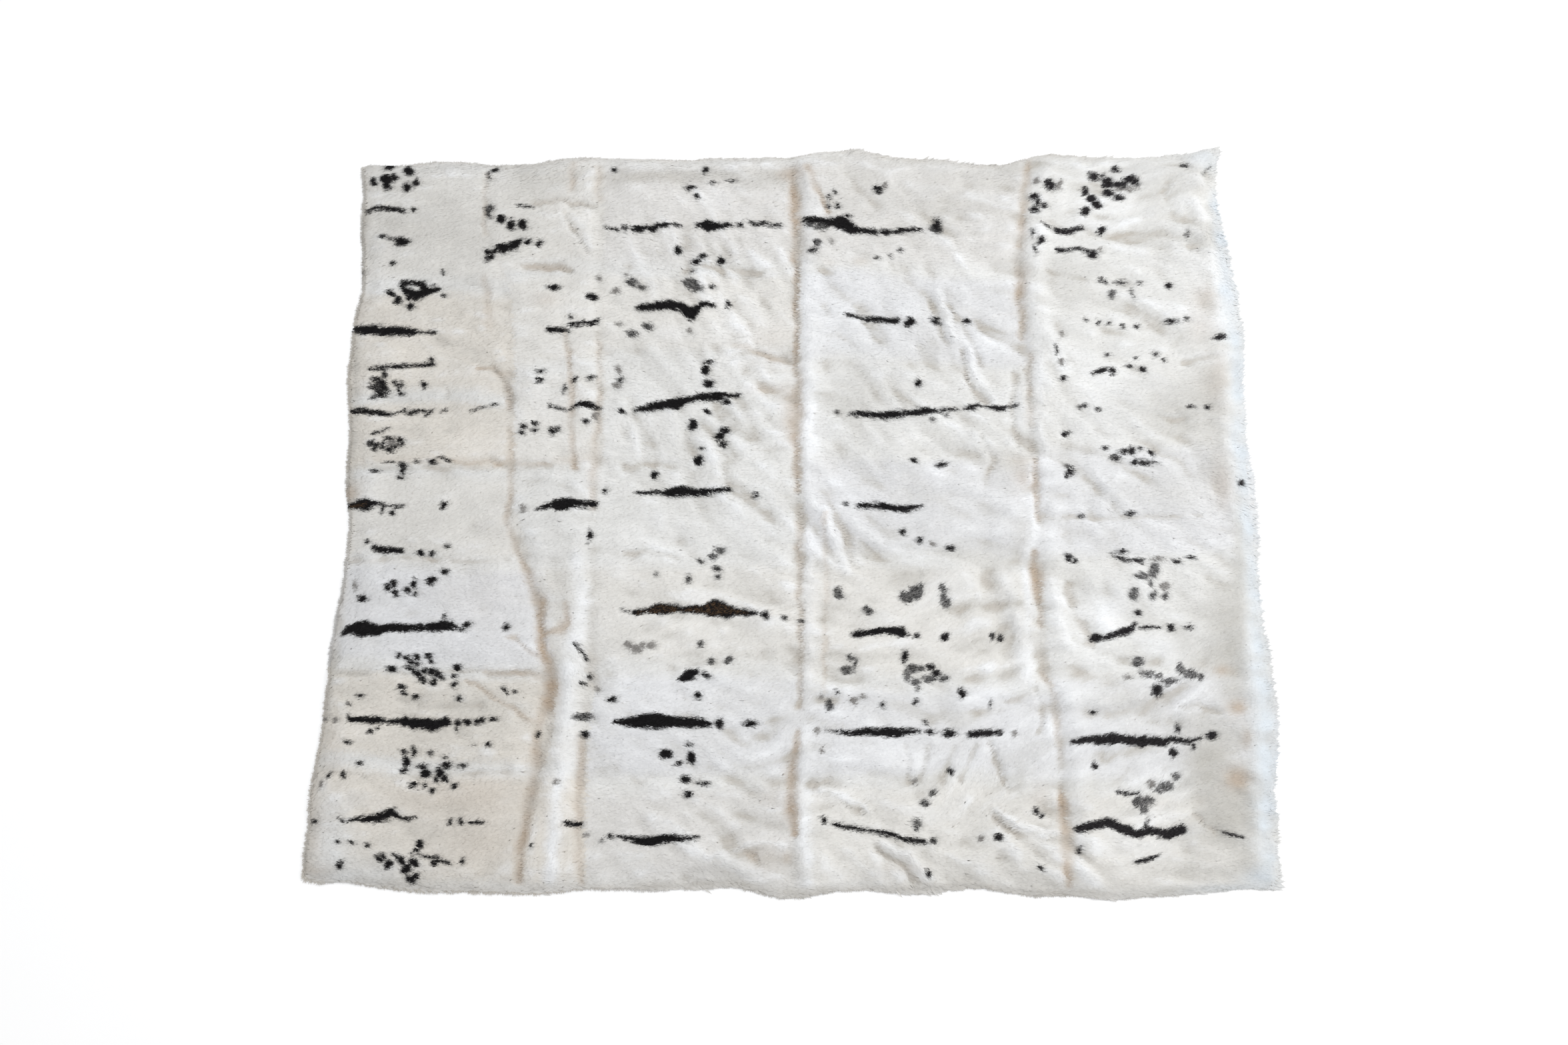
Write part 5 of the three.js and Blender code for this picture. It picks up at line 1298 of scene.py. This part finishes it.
def makeCoat(name, sides, tone, draw):
    # all the tufts of one pelt as one mesh: each a blade from a root to a bend to a tip
    body, bodyShare = tuftRoots(sides, draw, tuft["perSquareCm"])
    edge, edgeTurn, edgeSize = rimRoots(name, sides, draw)
    marked, markedShare = tuftRoots(sides, draw, tuft["markSquareCm"])
    depth = readMap(anyMark, marked[:, 0], marked[:, 1]) + draw.normal(size=len(marked))
    nearMark = depth > tuft["markFrom"]
    marked, markedShare = marked[nearMark], markedShare[nearMark]
    bodyTurn = readMap(lieMap, body[:, 0], body[:, 1]) + np.radians(tuft["fan"]) * draw.normal(size=len(body))
    markedTurn = readMap(lieMap, marked[:, 0], marked[:, 1])
    markedTurn = markedTurn + np.radians(tuft["markFan"]) * draw.normal(size=len(marked))
    edgeTurn = edgeTurn + np.radians(tuft["rimFan"]) * draw.normal(size=len(edge))
    roots = np.concatenate([body, edge, marked])
    turn = np.concatenate([bodyTurn, edgeTurn, markedTurn])
    toneShare = np.concatenate([bodyShare, np.ones(len(edge)), markedShare])
    part = np.repeat([0, 1, 2], [len(body), len(edge), len(marked)])  # in the body, at the rim, on a mark
    count = len(roots)
    length = np.where(part == 2, tuft["markLength"], tuft["length"])
    length[part == 1] = edgeSize
    length = length * draw.uniform(*tuft["uneven"], count)
    way = np.column_stack([np.cos(turn), np.sin(turn)])
    aside = np.column_stack([-np.sin(turn), np.cos(turn)])
    width = np.array([tuft["width"], tuft["rimWidth"], tuft["markWidth"]])[part]
    half = width / 2 * draw.uniform(*tuft["unevenWidth"], count)
    bend = roots + way * (length * tuft["middle"])[:, None]
    tip = roots + way * length[:, None]
    floorGap = tuft["floorGap"] + tuft["floorSpread"] * draw.uniform(size=count)
    rootLow = np.array(tuft["rootLow"])[part] * draw.uniform(*tuft["unevenRoot"], count)
    bendLow = np.array(tuft["bendLow"])[part] + tuft["lowSpread"] * draw.normal(size=count)
    tipLow = np.array(tuft["tipLow"])[part] + tuft["lowSpread"] * draw.normal(size=count)
    points = np.empty((count, 4, 3))
    for i, (centre, wide, low) in enumerate([(roots, 0, rootLow), (bend, 1, bendLow), (tip, 0, tipLow),
                                             (bend, -1, bendLow)]):
        place = centre + aside * (half * wide)[:, None]
        points[:, i, :2] = place
        points[:, i, 2] = np.maximum(readMap(topMap, place[:, 0], place[:, 1]) - low, floorGap)
    layFlatter(points, length, half)
    stops = np.stack([roots + way * (length * share)[:, None] for share in tuft["colourStops"]])
    fuzz = np.where(part == 2, tuft["markFuzz"], tuft["fuzz"])
    low, high = furColour(stops[..., 0], stops[..., 1], tone, toneShare, draw, fuzz)
    colours = np.ones((count, 4, 4))
    colours[..., :3] = np.stack([low * np.array(tuft["rootTint"]), low, high, low], 1)
    lean = draw.normal(size=(count, 1, 2)) * tuft["lean"]
    return tuftMesh(name.replace("pelt", "coat"), points, colours, softNormals(points, lean), draw)


def layFlatter(points, length, half):
    # tufts that would rise too steeply are laid flatter, so that none shows its back
    bendHeight = (points[:, 1, 2] + points[:, 3, 2]) / 2
    rises = np.stack([(bendHeight - points[:, 0, 2]) / (length * tuft["middle"]),
                      (points[:, 2, 2] - bendHeight) / (length * (1 - tuft["middle"]))])
    tilts = (points[:, 1, 2] - points[:, 3, 2]) / (2 * half)
    rise = np.hypot(np.abs(rises).max(0), tilts) / tuft["steepRise"]
    middle = points[:, :, 2].mean(1, keepdims=True)
    points[:, :, 2] = middle + (points[:, :, 2] - middle) / np.maximum(1, rise[:, None])


def softNormals(points, lean):
    # the normals of the coat under each point, so that the tufts shade as one soft surface
    slopes = np.stack([readMap(slopeX, points[..., 0], points[..., 1]),
                       readMap(slopeY, points[..., 0], points[..., 1])], -1)
    slopes /= np.maximum(1, np.linalg.norm(slopes, axis=-1, keepdims=True) / tuft["steepest"])
    normals = np.concatenate([lean - slopes, np.ones((len(points), 4, 1))], -1)
    return normals / np.linalg.norm(normals, axis=-1, keepdims=True)


def tuftMesh(name, points, colours, normals, draw):
    # two triangles for each tuft: root, far bend, near bend and near bend, far bend, tip
    count = len(points)
    mesh = bpy.data.meshes.new(name)
    mesh.vertices.add(count * 4)
    mesh.vertices.foreach_set("co", points.ravel())
    mesh.loops.add(count * 6)
    mesh.polygons.add(count * 2)
    order = np.array([0, 3, 1, 1, 3, 2])
    mesh.loops.foreach_set("vertex_index", (order + 4 * np.arange(count)[:, None]).ravel())
    mesh.polygons.foreach_set("loop_start", 3 * np.arange(count * 2))
    layer = mesh.color_attributes.new("furColour", "FLOAT_COLOR", "POINT")
    layer.data.foreach_set("color", colours.ravel())
    # OFBake gives each tuft its own small square; hairs runs along and across it
    side = math.ceil(math.sqrt(count))
    index = np.arange(count)
    square = np.column_stack([index % side, index // side])
    uvMaps = {
        "hairs": np.array(tuft["hairUV"])[None] + draw.uniform(0, tuft["hairSpread"], (count, 1, 2)),
        "OFBake": (square[:, None, :] + np.array(tuft["bakeUV"])[None]) / side,
    }
    for uvName in uvMaps:
        mesh.uv_layers.new(name=uvName)
    for uvName, places in uvMaps.items():
        mesh.uv_layers[uvName].data.foreach_set("uv", places[:, order].ravel())
    mesh.materials.append(coatMaterial)
    mesh.update(calc_edges=True)
    mesh.polygons.foreach_set("use_smooth", np.ones(count * 2, bool))
    mesh.validate()
    mesh.normals_split_custom_set_from_vertices(normals.reshape(-1, 3).tolist())
    piece = bpy.data.objects.new(name, mesh)
    bpy.context.scene.collection.objects.link(piece)
    return piece


def makePelt(name, seed):
    # one pelt's hide and coat in place of its solid, with its count of tufts
    draw = np.random.default_rng(seed)
    sides = peltSides(name)
    tone = slotOf[name]
    base = makeHide(name.replace("pelt", "hide"), sides, tone, draw)
    furPiece = makeCoat(name, sides, tone, draw)
    for piece in (base, furPiece):
        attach(piece, "root")
    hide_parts(name)
    return len(furPiece.data.polygons) // 2


firstSeed = 100
tuftCount = 0
for number, name in enumerate(peltNames):
    tuftCount += makePelt(name, firstSeed + number)
print("pelts made:", len(peltNames), "with", tuftCount, "tufts")
